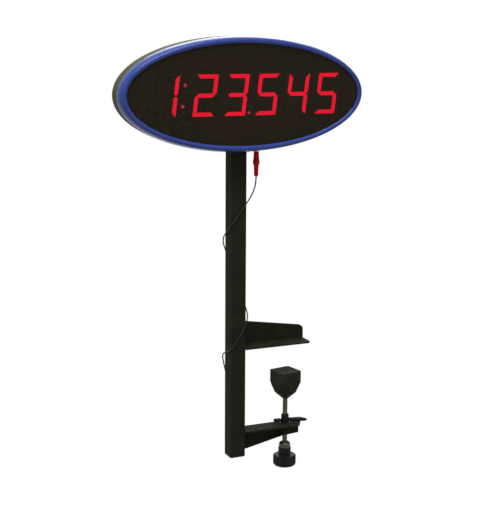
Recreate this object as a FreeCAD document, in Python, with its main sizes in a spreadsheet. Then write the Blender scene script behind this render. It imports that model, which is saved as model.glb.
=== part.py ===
import FreeCAD, Part
import math
import os
import re
import Sketcher

# A digital timer: an oval display head on a square steel post that clamps to a table's edge.
#
# Frame: millimetres, +Z up, +X along the display from its left end to its right end, +Y away
# from the reader. The origin is where the clamp meets the table: on the underside of the upper
# jaw, on the axis of the clamp screw. The post stands to the left of it.

SIZES = [
    # alias, value, what it is
    # the post
    ("tube_side", 25.0, "side of the square post tube"),
    ("tube_wall", 1.5, "wall of the post tube"),
    ("tube_corner", 1.5, "outer corner radius of the post tube"),
    ("throat", 76.0, "post face to the axis of the clamp screw"),
    ("post_drop", 174.7, "foot of the post below the upper jaw"),
    ("post_rise", 6.0, "top of the post above the centre of the display"),
    ("cap_rim", 3.0, "rim of a post end cap"),
    ("cap_depth", 12.0, "plug of a post end cap inside the tube"),
    ("cap_bevel", 1.2, "bevel round the rim of a post end cap"),
    # the two jaws, bent from plate
    ("plate", 3.0, "thickness of the jaw plate"),
    ("bend_radius", 2.5, "outer radius of the bend in a jaw"),
    ("jaw_front", 15.0, "front edge of a jaw ahead of the post's middle"),
    ("jaw_corner", 4.0, "rounded front corner of the upper jaw"),
    ("web_setback", 2.5, "jaw web's end short of the post's far side"),
    ("jaw_end", 36.5, "end of the upper jaw past the screw axis"),
    ("jaw_web_root", 41.0, "height of the upper web at the post"),
    ("jaw_web_tip", 23.7, "height of the upper web at its end"),
    ("jaw_web_corner", 9.0, "rounded end of the upper web"),
    ("arm_top", 133.6, "top of the lower arm below the upper jaw"),
    ("arm_end", 31.0, "end of the lower arm past the screw axis"),
    ("arm_chamfer", 12.0, "length of the slanting cut on the lower arm's front corner"),
    ("arm_bevel", 20.0, "how far back that cut reaches"),
    ("arm_knee", 1.5, "knee of the lower web past the screw axis"),
    ("arm_knee_depth", 25.6, "depth of the lower web at its knee"),
    ("arm_tip_depth", 23.6, "depth of the lower web at its end"),
    # the clamp screw and what is on it
    ("screw_radius", 4.0, "clamp screw M8"),
    ("screw_chamfer", 0.8, "chamfer on the ends of the clamp screw"),
    ("thread_play", 0.06, "running clearance of a nut or bore on the screw"),
    ("seat_gap", 0.1, "gap between a piece that lifts and its seat"),
    ("boss_radius", 7.25, "threaded boss welded in the lower arm"),
    ("boss_length", 17.4, "length of the threaded boss"),
    ("collar_gap", 13.5, "domed collar below the threaded boss, which stops the screw there"),
    ("collar_height", 9.5, "height of the domed collar"),
    ("collar_radius", 9.2, "radius of the domed collar"),
    ("collar_dome", 4.0, "rounding of the domed collar"),
    ("knob_neck_radius", 10.2, "neck of the knob"),
    ("knob_neck", 12.0, "length of the knob's neck"),
    ("knob_radius", 18.5, "outer radius of the knob"),
    ("knob_head", 18.3, "height of the knob's head"),
    ("knob_floor", 7.0, "foot of the clamp screw above the knob's underside"),
    ("knob_dome", 5.0, "rounding of the knob's underside"),
    ("knob_shoulder", 2.5, "rounding of the knob's upper edge"),
    ("flute_radius", 5.0, "finger flute in the knob"),
    ("flute_depth", 2.8, "depth of a finger flute"),
    # the pad that presses on the table
    ("pad_top", 45.0, "face of the pad below the upper jaw"),
    ("pad_side", 37.5, "side of the square pad"),
    ("pad_corner", 4.0, "rounded corner of the pad"),
    ("pad_turn", 10.5, "resting turn of the pad on the screw in degrees"),
    ("pad_rubber", 2.0, "thickness of the pad's rubber face"),
    ("pad_depth", 46.0, "pad face to the tip of its cone"),
    ("pad_tip_radius", 5.0, "radius of the pad at the tip of its cone"),
    ("pad_waist_radius", 17.5, "radius where the pad's cone turns into its flare"),
    ("pad_waist", 35.0, "pad face to that turn"),
    ("pad_flare_radius", 27.0, "radius of the flare where it reaches the pad's corners"),
    ("pad_flare", 13.0, "pad face to the top of the flare"),
    ("pad_roof", 25.0, "pad face to the end of the screw"),
    # the lever nut that locks the screw
    ("washer_radius", 8.5, "washer under the lever nut"),
    ("washer_thick", 1.5, "thickness of that washer"),
    ("hub_radius", 7.25, "hub of the lever nut"),
    ("lever_height", 16.0, "top of the lever nut above the lower arm"),
    ("lever_reach", 37.5, "end of the long lever from the screw axis"),
    ("lever_tail", 18.6, "end of the short tail from the screw axis"),
    ("lever_crest", 27.0, "widest place of the lever from the screw axis"),
    ("lever_width", 12.0, "width of the lever there"),
    ("lever_tip_width", 2.4, "width of the lever's end"),
    ("lever_neck_width", 8.0, "width of the lever where it leaves its hub"),
    ("lever_hub_width", 10.0, "width of the lever at the screw axis"),
    ("lever_tail_width", 6.0, "width of the tail's end"),
    ("lever_root", 7.6, "upper side of the lever below the top of its nut"),
    ("lever_thick", 5.2, "thickness of the lever"),
    ("lever_droop", 1.2, "fall of the lever from its hub to its widest place"),
    ("lever_tip_thick", 3.0, "thickness of the lever's end"),
    ("lever_tip_droop", 2.0, "fall of the lever's underside from its hub to its end"),
    ("lever_angle", -8.0, "resting direction of the lever in degrees"),
    # the display head
    ("head_height", 397.3, "centre of the display above the upper jaw"),
    ("head_half_width", 197.5, "half the width of the front bezel"),
    ("head_half_height", 86.0, "half the height of the front bezel"),
    ("head_front", 41.0, "front of the bezel ahead of the post's middle"),
    ("bezel_depth", 17.0, "depth of the front bezel"),
    ("bezel_wall", 3.0, "wall of the front bezel"),
    ("bezel_lip", 4.0, "thickness of the ring round the window"),
    ("bezel_round", 6.0, "rounded front edge of the bezel"),
    ("ring_side", 10.5, "width of the ring round the window at its left and right ends"),
    ("ring_top", 10.4, "width of that ring at its top and foot"),
    ("window_recess", 2.0, "window behind the front of the bezel"),
    ("window_thick", 2.4, "thickness of the window"),
    ("window_land", 2.0, "overlap of the bezel on the window"),
    ("seam_gap", 1.0, "groove between the bezel and the rear shell"),
    ("fit_gap", 0.3, "clearance between fitted mouldings"),
    ("shell_step_x", 5.5, "rear shell narrower than the bezel, each side"),
    ("shell_step_z", 0.5, "rear shell lower than the bezel, each side"),
    ("shell_back", 18.5, "back of the rear shell behind the post's middle"),
    ("shell_wall", 3.5, "side wall of the rear shell"),
    ("back_wall", 2.5, "back wall of the rear shell"),
    ("shell_round", 7.0, "rounded back edge of the rear shell"),
    ("tongue_wall", 6.0, "flange of the rear shell that enters the bezel"),
    ("tongue_reach", 4.0, "reach of that flange into the bezel"),
    ("tongue_root", 2.0, "depth of that flange inside the shell"),
    ("socket_play", 0.25, "clearance of the post in its socket"),
    ("socket_wall", 3.0, "wall of the post socket"),
    ("socket_proud", 1.5, "post socket below the underside of the head"),
    # what holds the head together
    ("chassis_thick", 2.0, "plate behind the window"),
    ("chassis_gap", 0.1, "gap between the window and the plate"),
    ("boss_inset_x", 21.5, "oval of screw bosses inside the bezel's left and right ends"),
    ("boss_inset_z", 16.0, "that oval inside the bezel's top and foot"),
    ("screw_boss_radius", 4.5, "boss round a housing screw"),
    ("housing_screw_radius", 1.5, "housing screw M3"),
    ("housing_screw_length", 44.0, "housing screw under its head"),
    ("screw_head_radius", 3.0, "head of a housing screw"),
    ("screw_head_height", 2.0, "height of that head"),
    ("counterbore_radius", 3.6, "recess round that head"),
    # the digits
    ("digit_height", 61.0, "height of a digit"),
    ("digit_stroke", 5.8, "width of a lit segment"),
    ("digit_slant", 7.3, "slant of the digits in degrees"),
    ("segment_gap", 0.35, "gap between segments"),
    ("segment_proud", 0.4, "lit face of a segment ahead of its module"),
    ("row_left", 55.25, "first digit module from the head's left end"),
    ("row_right", 39.6, "last digit module from the head's right end"),
    ("colon_gap", 4.55, "gap between the first two modules"),
    ("module_gap", 1.9, "gap between the later modules"),
    ("module_height", 70.0, "height of a digit module"),
    ("module_depth", 10.6, "depth of a digit module"),
    ("module_margin", 2.5, "module's right edge from its digit's top corner"),
    ("first_module_margin", 10.45, "the same for the first module, which has the colon"),
    ("module_foot_margin", 3.9, "module's left edge from its digit's foot"),
    ("dot_radius", 2.6, "radius of a colon dot"),
    ("colon_spread", 15.3, "colon dot above or below the middle"),
    ("colon_inset", 4.6, "colon inside the right edge of the first module"),
    ("point_radius", 2.2, "radius of the decimal point"),
    ("point_inset", 3.6, "decimal point inside the right edge of the third module"),
    ("point_drop", 26.6, "decimal point below the middle"),
    # boards and fittings inside the head
    ("board_thick", 1.6, "thickness of a circuit board"),
    ("board_margin", 4.3, "display board past the first and the last module"),
    ("board_half_height", 36.5, "half the height of the display board"),
    ("pillar_radius", 3.5, "pillar behind the display board"),
    ("pillar_inset", 6.0, "pillar in from the edges of the display board"),
    ("control_gap", 8.25, "control board from the post socket"),
    ("control_clear", 3.5, "control board from the nearest screw boss"),
    ("control_drop", 66.0, "foot of the control board below the middle"),
    ("control_height", 50.0, "height of the control board"),
    ("control_front", 2.5, "front of the control board behind the post's middle"),
    ("spacer_radius", 2.5, "spacer behind the control board"),
    ("spacer_inset", 4.0, "spacer in from the corners of the control board"),
    ("ribbon_width", 20.0, "width of the ribbon cable"),
    ("ribbon_thick", 0.9, "thickness of the ribbon cable"),
    ("ribbon_drop", 26.0, "ribbon cable below the middle"),
    ("buzzer_radius", 10.0, "radius of the buzzer"),
    ("buzzer_depth", 7.5, "depth of the buzzer"),
    ("buzzer_x", -95.0, "buzzer from the head's centre"),
    # the sockets, the switch and the button
    ("jack_x", 32.0, "data jack from the head's centre"),
    ("jack_y", -4.0, "data jack behind the post's middle"),
    ("jack_radius", 4.5, "body of the data jack"),
    ("jack_length", 17.0, "length of the data jack"),
    ("jack_nut_radius", 6.0, "nut that holds the data jack"),
    ("jack_nut_height", 4.5, "height of that nut, up into the curve of the shell"),
    ("power_x", 60.0, "power jack from the head's centre"),
    ("power_drop", 42.0, "power jack below the middle"),
    ("power_radius", 5.0, "body of the power jack"),
    ("power_bore", 2.8, "mouth of the power jack"),
    ("power_bore_depth", 9.5, "depth of the power jack's mouth"),
    ("power_pin_radius", 1.05, "pin of the power jack"),
    ("power_pin_length", 8.5, "length of that pin"),
    ("power_proud", 0.6, "power jack behind the back of the shell"),
    ("switch_x", 108.0, "power switch from the head's centre"),
    ("switch_drop", 30.0, "power switch below the middle"),
    ("switch_width", 21.0, "width of the switch's frame"),
    ("switch_height", 17.0, "height of the switch's frame"),
    ("switch_rim", 1.6, "rim of the switch's frame"),
    ("switch_depth", 13.0, "switch's body inside the shell"),
    ("rocker_width", 14.0, "width of the rocker"),
    ("rocker_height", 10.0, "height of the rocker"),
    ("rocker_depth", 7.0, "depth of the rocker"),
    ("rocker_gap", 1.0, "clearance round the rocker"),
    ("rocker_tilt", 8.0, "resting tilt of the rocker in degrees"),
    ("rocker_axle", 1.0, "radius of the rocker's axle"),
    ("axle_play", 0.05, "clearance round that axle"),
    ("button_x", -60.0, "push button from the head's centre"),
    ("button_drop", 42.0, "push button below the middle"),
    ("button_radius", 4.0, "radius of the push button"),
    ("button_gap", 0.3, "clearance round the push button"),
    ("button_wall", 1.6, "wall of the button's housing"),
    ("button_rim", 1.2, "rim of the button's housing"),
    ("button_proud", 1.8, "push button behind the back of the shell"),
    ("button_inside", 11.0, "button's housing inside the shell"),
    # the data lead
    ("cord_radius", 1.0, "radius of the data lead"),
    ("plug_pin_radius", 1.75, "pin of the data plug, 3.5 mm size"),
    ("plug_pin_length", 14.0, "length of that pin"),
    ("pin_play", 0.05, "clearance of the pin in its jack"),
    ("plug_barrel_radius", 4.6, "barrel of the data plug at its foot"),
    ("plug_barrel_top", 3.9, "radius of that barrel at its top"),
    ("plug_barrel", 15.0, "length of that barrel"),
    ("plug_grip_radius", 5.4, "eight-sided grip of the data plug"),
    ("plug_grip", 10.0, "length of that grip"),
    ("plug_boot_radius", 3.9, "strain relief of the data plug"),
    ("plug_boot", 14.0, "length of that strain relief"),
    ("coil_ring", 12.0, "middle radius of the coiled lead"),
    ("coil_bundle", 3.4, "radius of the bundle of turns"),
    ("coil_drop", 70.0, "centre of the coil below the upper jaw"),
    ("coil_x", 6.5, "centre of the coil right of the post's middle"),
    ("hook_plate", 2.0, "plate of the hook that the coil hangs on"),
    ("hook_width", 14.0, "width of that plate"),
    ("hook_height", 20.0, "height of that plate"),
    ("hook_inset", 1.0, "plate in from the post's right edge"),
    ("hook_peg", 2.5, "radius of the hook's peg"),
    ("hook_end", 4.2, "radius of the disc on the peg's end"),
    ("hook_end_thick", 1.5, "thickness of that disc"),
    ("far_plug_x", 12.0, "far plug right of the post's middle"),
    ("far_plug_gap", 2.5, "far plug behind the back of the post"),
    ("far_plug_tip", 140.0, "tip of the far plug below the upper jaw"),
    ("far_plug_barrel", 22.0, "length of the far plug's barrel"),
]

KNOB_FLUTES = 6
# the lit segments of 1, 2, 3, 5, 4 and 5
LIT = ["bc", "abged", "abgcd", "afgcd", "fgbc", "afgcd"]

POST_X = "(-throat - tube_side / 2)"
HALF_TUBE = "(tube_side / 2)"
WEB_BACK = "(tube_side / 2 + plate)"
WEB_LEFT = "(-throat - tube_side + web_setback)"
LEVER_TOP = "(-arm_top + lever_height)"
COLLAR_TOP = "(-arm_top - boss_length - collar_gap)"
KNOB_TOP = "(" + COLLAR_TOP + " - collar_height)"
KNOB_SHOULDER = "(" + KNOB_TOP + " - knob_neck)"
KNOB_FOOT = "(" + KNOB_SHOULDER + " - knob_head)"
SCREW_FOOT = "(" + KNOB_FOOT + " + knob_floor)"
HEAD_FRONT = "(-head_front)"
SHELL_FRONT = "(-head_front + bezel_depth + seam_gap)"
SHELL_INSIDE = "(shell_back - back_wall)"
WINDOW_FRONT = "(-head_front + window_recess)"
CHASSIS_FRONT = "(-head_front + window_recess + window_thick + chassis_gap)"
MODULE_FRONT = "(-head_front + window_recess + window_thick + chassis_gap + segment_proud)"
BOARD_FRONT = "(" + MODULE_FRONT + " + module_depth)"
BOARD_BACK = "(" + BOARD_FRONT + " + board_thick)"
HEAD_FOOT = "(head_height - head_half_height)"
BOSS_X = "(head_half_width - boss_inset_x)"
BOSS_Z = "(head_half_height - boss_inset_z)"
MODULE_ROOM = "(2 * head_half_width - row_left - row_right - colon_gap - 4 * module_gap)"
MODULE_WIDTH = "(" + MODULE_ROOM + " / 6)"
DIGIT_LEAN = "(digit_height * tan(digit_slant))"
DIGIT_WIDTH = f"({MODULE_WIDTH} - module_margin - module_foot_margin - {DIGIT_LEAN})"
BOARD_LEFT = "(row_left - head_half_width - board_margin)"
BOARD_RIGHT = "(head_half_width - row_right + board_margin)"
CONTROL_LEFT = "(tube_side / 2 + socket_play + socket_wall + control_gap)"
CONTROL_RIGHT = "(" + BOSS_X + " * cos(60) - screw_boss_radius - control_clear)"
POST_TOP = "(head_height + post_rise)"
COIL_Y = "(tube_side / 2 + hook_plate + fit_gap + coil_bundle)"

doc = FreeCAD.newDocument("round_timer")
sheet = doc.addObject("Spreadsheet::Sheet", "Sizes")
for row, (alias, value, meaning) in enumerate(SIZES, start=1):
    sheet.set(f"A{row}", meaning)
    sheet.set(f"B{row}", str(value))
    sheet.setAlias(f"B{row}", alias)
doc.recompute()

nodes = []


def formula(text):
    """The expression for a formula written in the sheet's aliases."""
    return re.sub(r"\b[a-z]\w*\b(?!\()", lambda found: "Sizes." + found.group(), text)


def number(text):
    """The present value of a formula, for the pieces whose shape is worked out here."""
    return float(sheet.evalExpression(formula(text)))


def bind(thing, **formulas):
    for name, text in formulas.items():
        thing.setExpression(name, formula(text))


def place(thing, x, y, z):
    for axis, text in zip("xyz", (x, y, z)):
        thing.setExpression("Placement.Base." + axis, formula(text))


def node(name, thing):
    """Names a finished sub-part and its file."""
    thing.Label = name
    nodes.append(thing)
    return thing


def head_x(offset):
    """A place along X that is measured from the display's centre."""
    return f"({POST_X} + {offset})"


def head_z(drop):
    """A place along Z that is measured down from the display's centre."""
    return f"(head_height - {drop})"


# ---- simple solids -------------------------------------------------------------------------


def block(name, corner, size):
    box = doc.addObject("Part::Box", name)
    bind(box, Length=size[0], Width=size[1], Height=size[2])
    place(box, *corner)
    return box


def rod(name, radius, start, length, axis="Z"):
    """A round bar from its start point along +X, +Y or +Z."""
    turns = {
        "X": FreeCAD.Rotation(FreeCAD.Vector(0, 1, 0), 90),
        "Y": FreeCAD.Rotation(FreeCAD.Vector(1, 0, 0), -90),
        "Z": FreeCAD.Rotation(),
    }
    bar = doc.addObject("Part::Cylinder", name)
    bar.Placement = FreeCAD.Placement(FreeCAD.Vector(), turns[axis])
    bind(bar, Radius=radius, Height=length)
    place(bar, *start)
    return bar


def ellipse(name, half_width, half_height, depth):
    """An upright oval line, centred on the display, at the given depth."""
    oval = doc.addObject("Part::Ellipse", name)
    upright = FreeCAD.Rotation(FreeCAD.Vector(1, 0, 0), 90)
    oval.Placement = FreeCAD.Placement(FreeCAD.Vector(), upright)
    bind(oval, MajorRadius=half_width, MinorRadius=half_height)
    place(oval, POST_X, depth, "head_height")
    return oval


def oval_plate(name, half_width, half_height, front, depth):
    """A straight oval solid, centred on the display, from its front towards +Y."""
    plate = doc.addObject("Part::Extrusion", name)
    plate.Base = ellipse(name + "_line", half_width, half_height, front)
    plate.DirMode = "Custom"
    plate.Dir = FreeCAD.Vector(0, 1, 0)
    plate.Solid = True
    bind(plate, LengthFwd=depth)
    return plate


def fuse(name, *pieces):
    joined = doc.addObject("Part::MultiFuse", name)
    joined.Shapes = list(pieces)
    return joined


def cut(name, base, *tools):
    """The base with each tool taken away from it in turn."""
    remainder = base
    for step, tool in enumerate(tools, start=1):
        less = doc.addObject("Part::Cut", name if step == len(tools) else f"{name}_{step}")
        less.Base = remainder
        less.Tool = tool
        remainder = less
    return remainder


def overlap(name, *pieces):
    shared = doc.addObject("Part::MultiCommon", name)
    shared.Shapes = list(pieces)
    return shared


def together(name, *pieces):
    """Separate solids of one kind, such as a set of screws, as one sub-part."""
    group = doc.addObject("Part::Compound", name)
    group.Links = list(pieces)
    return group


def eased(name, kind, base, amount, chosen):
    """A fillet or a chamfer on the edges of base that chosen picks by their bounding box."""
    doc.recompute()
    worked = doc.addObject("Part::" + kind, name)
    worked.Base = base
    size = number(amount)
    edges = enumerate(base.Shape.Edges, start=1)
    worked.Edges = [(index, size, size) for index, edge in edges if chosen(edge.BoundBox)]
    return worked


# ---- bodies made from sketches ---------------------------------------------------------------


def new_body(name):
    return doc.addObject("PartDesign::Body", name)


def outline(body, name, plane, points, offset="0"):
    """A closed sketch of straight lines with every corner tied to the sheet."""
    sketch = body.newObject("Sketcher::SketchObject", name)
    roles = {item.Role: item for item in body.Origin.OriginFeatures}
    sketch.AttachmentSupport = (roles[plane + "_Plane"], "")
    sketch.MapMode = "FlatFace"
    sketch.setExpression("AttachmentOffset.Base.z", formula(offset))
    corners = [FreeCAD.Vector(number(x), number(y), 0) for x, y in points]
    count = len(corners)
    for index, corner in enumerate(corners):
        sketch.addGeometry(Part.LineSegment(corner, corners[(index + 1) % count]), False)
    for index in range(count):
        following = (index + 1) % count
        sketch.addConstraint(Sketcher.Constraint("Coincident", index, 2, following, 1))
    for index, (corner, texts) in enumerate(zip(corners, points)):
        for kind, value, text in zip(("DistanceX", "DistanceY"), corner, texts):
            rule = Sketcher.Constraint(kind, -1, 1, index, 1, value)
            which = sketch.addConstraint(rule)
            sketch.setExpression(f"Constraints[{which}]", formula(text))
    return sketch


def circle(body, name, plane, x, y, radius):
    """A sketch of one circle tied to the sheet."""
    sketch = body.newObject("Sketcher::SketchObject", name)
    roles = {item.Role: item for item in body.Origin.OriginFeatures}
    sketch.AttachmentSupport = (roles[plane + "_Plane"], "")
    sketch.MapMode = "FlatFace"
    centre = FreeCAD.Vector(number(x), number(y), 0)
    up = FreeCAD.Vector(0, 0, 1)
    sketch.addGeometry(Part.Circle(centre, up, number(radius)), False)
    rules = [
        (Sketcher.Constraint("Radius", 0, number(radius)), radius),
        (Sketcher.Constraint("DistanceX", -1, 1, 0, 3, centre.x), x),
        (Sketcher.Constraint("DistanceY", -1, 1, 0, 3, centre.y), y),
    ]
    for rule, text in rules:
        which = sketch.addConstraint(rule)
        sketch.setExpression(f"Constraints[{which}]", formula(text))
    return sketch


def pad(body, name, sketch, length):
    raised = body.newObject("PartDesign::Pad", name)
    raised.Profile = sketch
    bind(raised, Length=length)
    return raised


def drill(body, name, sketch):
    """A hole right through the body, both ways from its sketch."""
    hole = body.newObject("PartDesign::Pocket", name)
    hole.Profile = sketch
    hole.Type = "ThroughAll"
    hole.Midplane = True
    return hole


def turned(name, points):
    """A body turned about Z from half its outline, as pairs of radius and height."""
    body = new_body(name)
    sketch = outline(body, name + "_half", "XZ", points)
    lathe = body.newObject("PartDesign::Revolution", name + "_turned")
    lathe.Profile = sketch
    lathe.ReferenceAxis = (sketch, ["V_Axis"])
    lathe.Angle = 360
    return body


def ease(body, name, kind, amount, chosen):
    """A fillet or a chamfer on the edges of the body that chosen picks."""
    doc.recompute()
    before = body.Tip
    worked = body.newObject("PartDesign::" + kind, name)
    edges = enumerate(before.Shape.Edges, start=1)
    picked = [f"Edge{index}" for index, edge in edges if chosen(edge.BoundBox)]
    worked.Base = (before, picked)
    bind(worked, **{"Radius" if kind == "Fillet" else "Size": amount})
    return worked


def near(value, text):
    """Whether a measured place is the one that the formula gives."""
    return abs(value - number(text)) < 0.01


# ---- the post ----------------------------------------------------------------------------------


def square_tube():
    foot = "(-post_drop + cap_rim)"
    length = f"({POST_TOP} - cap_rim - {foot})"
    bar = block("post_bar", (f"{POST_X} - {HALF_TUBE}", f"-{HALF_TUBE}", foot),
                ("tube_side", "tube_side", length))
    rounded = eased("post_rounded", "Fillet", bar, "tube_corner",
                    lambda box: box.ZLength > 1)
    inner = "(tube_side - 2 * tube_wall)"
    bore = block("post_bore", (f"{POST_X} - {inner} / 2", f"-{inner} / 2", foot),
                 (inner, inner, length))
    node("post", cut("post_tube", rounded, bore))


def end_cap(name, rim_foot, plug_foot):
    """A plastic cap: a rim as wide as the tube and a plug that fills its bore."""
    rim = block(name + "_rim", (f"{POST_X} - {HALF_TUBE}", f"-{HALF_TUBE}", rim_foot),
                ("tube_side", "tube_side", "cap_rim"))
    eased_rim = eased(name + "_eased", "Chamfer", rim, "cap_bevel",
                      lambda box: box.ZLength > 1)
    inner = "(tube_side - 2 * tube_wall)"
    plug = block(name + "_plug", (f"{POST_X} - {inner} / 2", f"-{inner} / 2", plug_foot),
                 (inner, inner, "cap_depth"))
    node(name, fuse(name + "_whole", eased_rim, plug))


def post():
    square_tube()
    end_cap("post_foot_cap", "-post_drop", "-post_drop + cap_rim")
    end_cap("post_top_cap", f"{POST_TOP} - cap_rim", f"{POST_TOP} - cap_rim - cap_depth")


# ---- the jaws ----------------------------------------------------------------------------------


def upper_jaw():
    body = new_body("upper_jaw")
    web = outline(body, "upper_web_outline", "XZ", [
        (WEB_LEFT, "0"),
        ("jaw_end", "0"),
        ("jaw_end", "jaw_web_tip"),
        ("-throat", "jaw_web_root"),
        (WEB_LEFT, "jaw_web_root"),
    ], f"-{WEB_BACK}")
    pad(body, "upper_web", web, "plate")
    flange = outline(body, "upper_flange_outline", "XY", [
        ("-throat", "-jaw_front"),
        ("jaw_end", "-jaw_front"),
        ("jaw_end", WEB_BACK),
        ("-throat", WEB_BACK),
    ])
    pad(body, "upper_flange", flange, "plate")
    ease(body, "upper_bend", "Fillet", "bend_radius",
         lambda box: box.XLength > 20 and near(box.YMin, WEB_BACK) and near(box.ZMax, "0"))
    ease(body, "upper_web_end", "Fillet", "jaw_web_corner",
         lambda box: near(box.XMin, "jaw_end") and near(box.ZMin, "jaw_web_tip"))
    ease(body, "upper_corner", "Fillet", "jaw_corner",
         lambda box: near(box.XMin, "jaw_end") and near(box.YMax, "-jaw_front")
         and box.ZLength > 1)
    node("upper_jaw", body)


def lower_arm():
    body = new_body("lower_arm")
    web = outline(body, "lower_web_outline", "XZ", [
        (WEB_LEFT, "-post_drop"),
        ("-throat", "-post_drop"),
        ("arm_knee", "-arm_top - arm_knee_depth"),
        ("arm_end", "-arm_top - arm_tip_depth"),
        ("arm_end", "-arm_top"),
        (WEB_LEFT, "-arm_top"),
    ], f"-{WEB_BACK}")
    pad(body, "lower_web", web, "plate")
    flange = outline(body, "lower_flange_outline", "XY", [
        ("-throat", "-jaw_front"),
        ("arm_end - arm_chamfer", "-jaw_front"),
        ("arm_end", "-jaw_front + arm_bevel"),
        ("arm_end", WEB_BACK),
        ("-throat", WEB_BACK),
    ], "-arm_top - plate")
    pad(body, "lower_flange", flange, "plate")
    ease(body, "lower_bend", "Fillet", "bend_radius",
         lambda box: box.XLength > 20 and near(box.YMin, WEB_BACK)
         and near(box.ZMin, "-arm_top"))
    drill(body, "boss_hole", circle(body, "boss_circle", "XY", "0", "0", "boss_radius"))
    node("lower_arm", body)


def threaded_boss():
    bore = "screw_radius + thread_play"
    node("arm_boss", turned("arm_boss", [
        (bore, "-arm_top - boss_length"),
        ("boss_radius", "-arm_top - boss_length"),
        ("boss_radius", "-arm_top"),
        (bore, "-arm_top"),
    ]))


# ---- the clamp screw -----------------------------------------------------------------------------


def clamp_screw():
    top = "(-pad_top - pad_roof)"
    bar = rod("screw_bar", "screw_radius", ("0", "0", SCREW_FOOT), f"{top} - {SCREW_FOOT}")
    node("clamp_screw", eased("screw_eased", "Chamfer", bar, "screw_chamfer",
                              lambda box: box.ZLength < 1))


def domed_collar():
    body = turned("dome_collar", [
        ("screw_radius", KNOB_TOP),
        ("collar_radius", KNOB_TOP),
        ("collar_radius", COLLAR_TOP),
        ("screw_radius", COLLAR_TOP),
    ])
    ease(body, "collar_rounding", "Fillet", "collar_dome",
         lambda box: near(box.ZMin, COLLAR_TOP) and near(box.XMax, "collar_radius"))
    node("dome_collar", body)


def knob():
    body = turned("clamp_knob", [
        ("screw_radius", KNOB_TOP),
        ("screw_radius", SCREW_FOOT),
        ("0", SCREW_FOOT),
        ("0", KNOB_FOOT),
        ("knob_radius", KNOB_FOOT),
        ("knob_radius", KNOB_SHOULDER),
        ("knob_neck_radius", KNOB_SHOULDER),
        ("knob_neck_radius", KNOB_TOP),
    ])
    ease(body, "knob_shoulder_round", "Fillet", "knob_shoulder",
         lambda box: near(box.ZMin, KNOB_SHOULDER) and near(box.XMax, "knob_radius"))
    ease(body, "knob_dome_round", "Fillet", "knob_dome",
         lambda box: near(box.ZMax, KNOB_FOOT) and near(box.XMax, "knob_radius"))
    flute = circle(body, "flute_circle", "XY", "knob_radius + flute_radius - flute_depth", "0",
                   "flute_radius")
    first = drill(body, "flute", flute)
    doc.recompute()
    flutes = body.newObject("PartDesign::PolarPattern", "flutes")
    flutes.Originals = [first]
    flutes.Axis = (flute, ["N_Axis"])
    flutes.Angle = 360
    flutes.Occurrences = KNOB_FLUTES
    body.Tip = flutes
    node("clamp_knob", body)


def pressure_pad():
    tip = "(-pad_top - pad_depth)"
    top = "(-pad_top - pad_rubber)"
    bell = turned("pad_bell", [
        ("0", tip),
        ("pad_tip_radius", tip),
        ("pad_waist_radius", "-pad_top - pad_waist"),
        ("pad_flare_radius", "-pad_top - pad_flare"),
        ("pad_flare_radius", top),
        ("0", top),
    ])
    square = block("pad_square", ("-pad_side / 2", "-pad_side / 2", tip),
                   ("pad_side", "pad_side", f"{top} - {tip}"))
    rounded = eased("pad_rounded", "Fillet", square, "pad_corner", lambda box: box.ZLength > 1)
    bore = rod("pad_bore", "screw_radius + thread_play", ("0", "0", tip),
               "pad_depth - pad_roof + seat_gap")
    shoe = cut("pad_whole", overlap("pad_form", bell, rounded), bore)
    sheet_square = block("rubber_square", ("-pad_side / 2", "-pad_side / 2", top),
                         ("pad_side", "pad_side", "pad_rubber"))
    face = eased("rubber_rounded", "Fillet", sheet_square, "pad_corner",
                 lambda box: box.ZLength > 1)
    for name, piece in (("pad_shoe", shoe), ("pad_face", face)):
        piece.setExpression("Placement.Rotation.Angle", formula("pad_turn"))
        node(name, piece)


# ---- the lever nut -------------------------------------------------------------------------------


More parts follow.
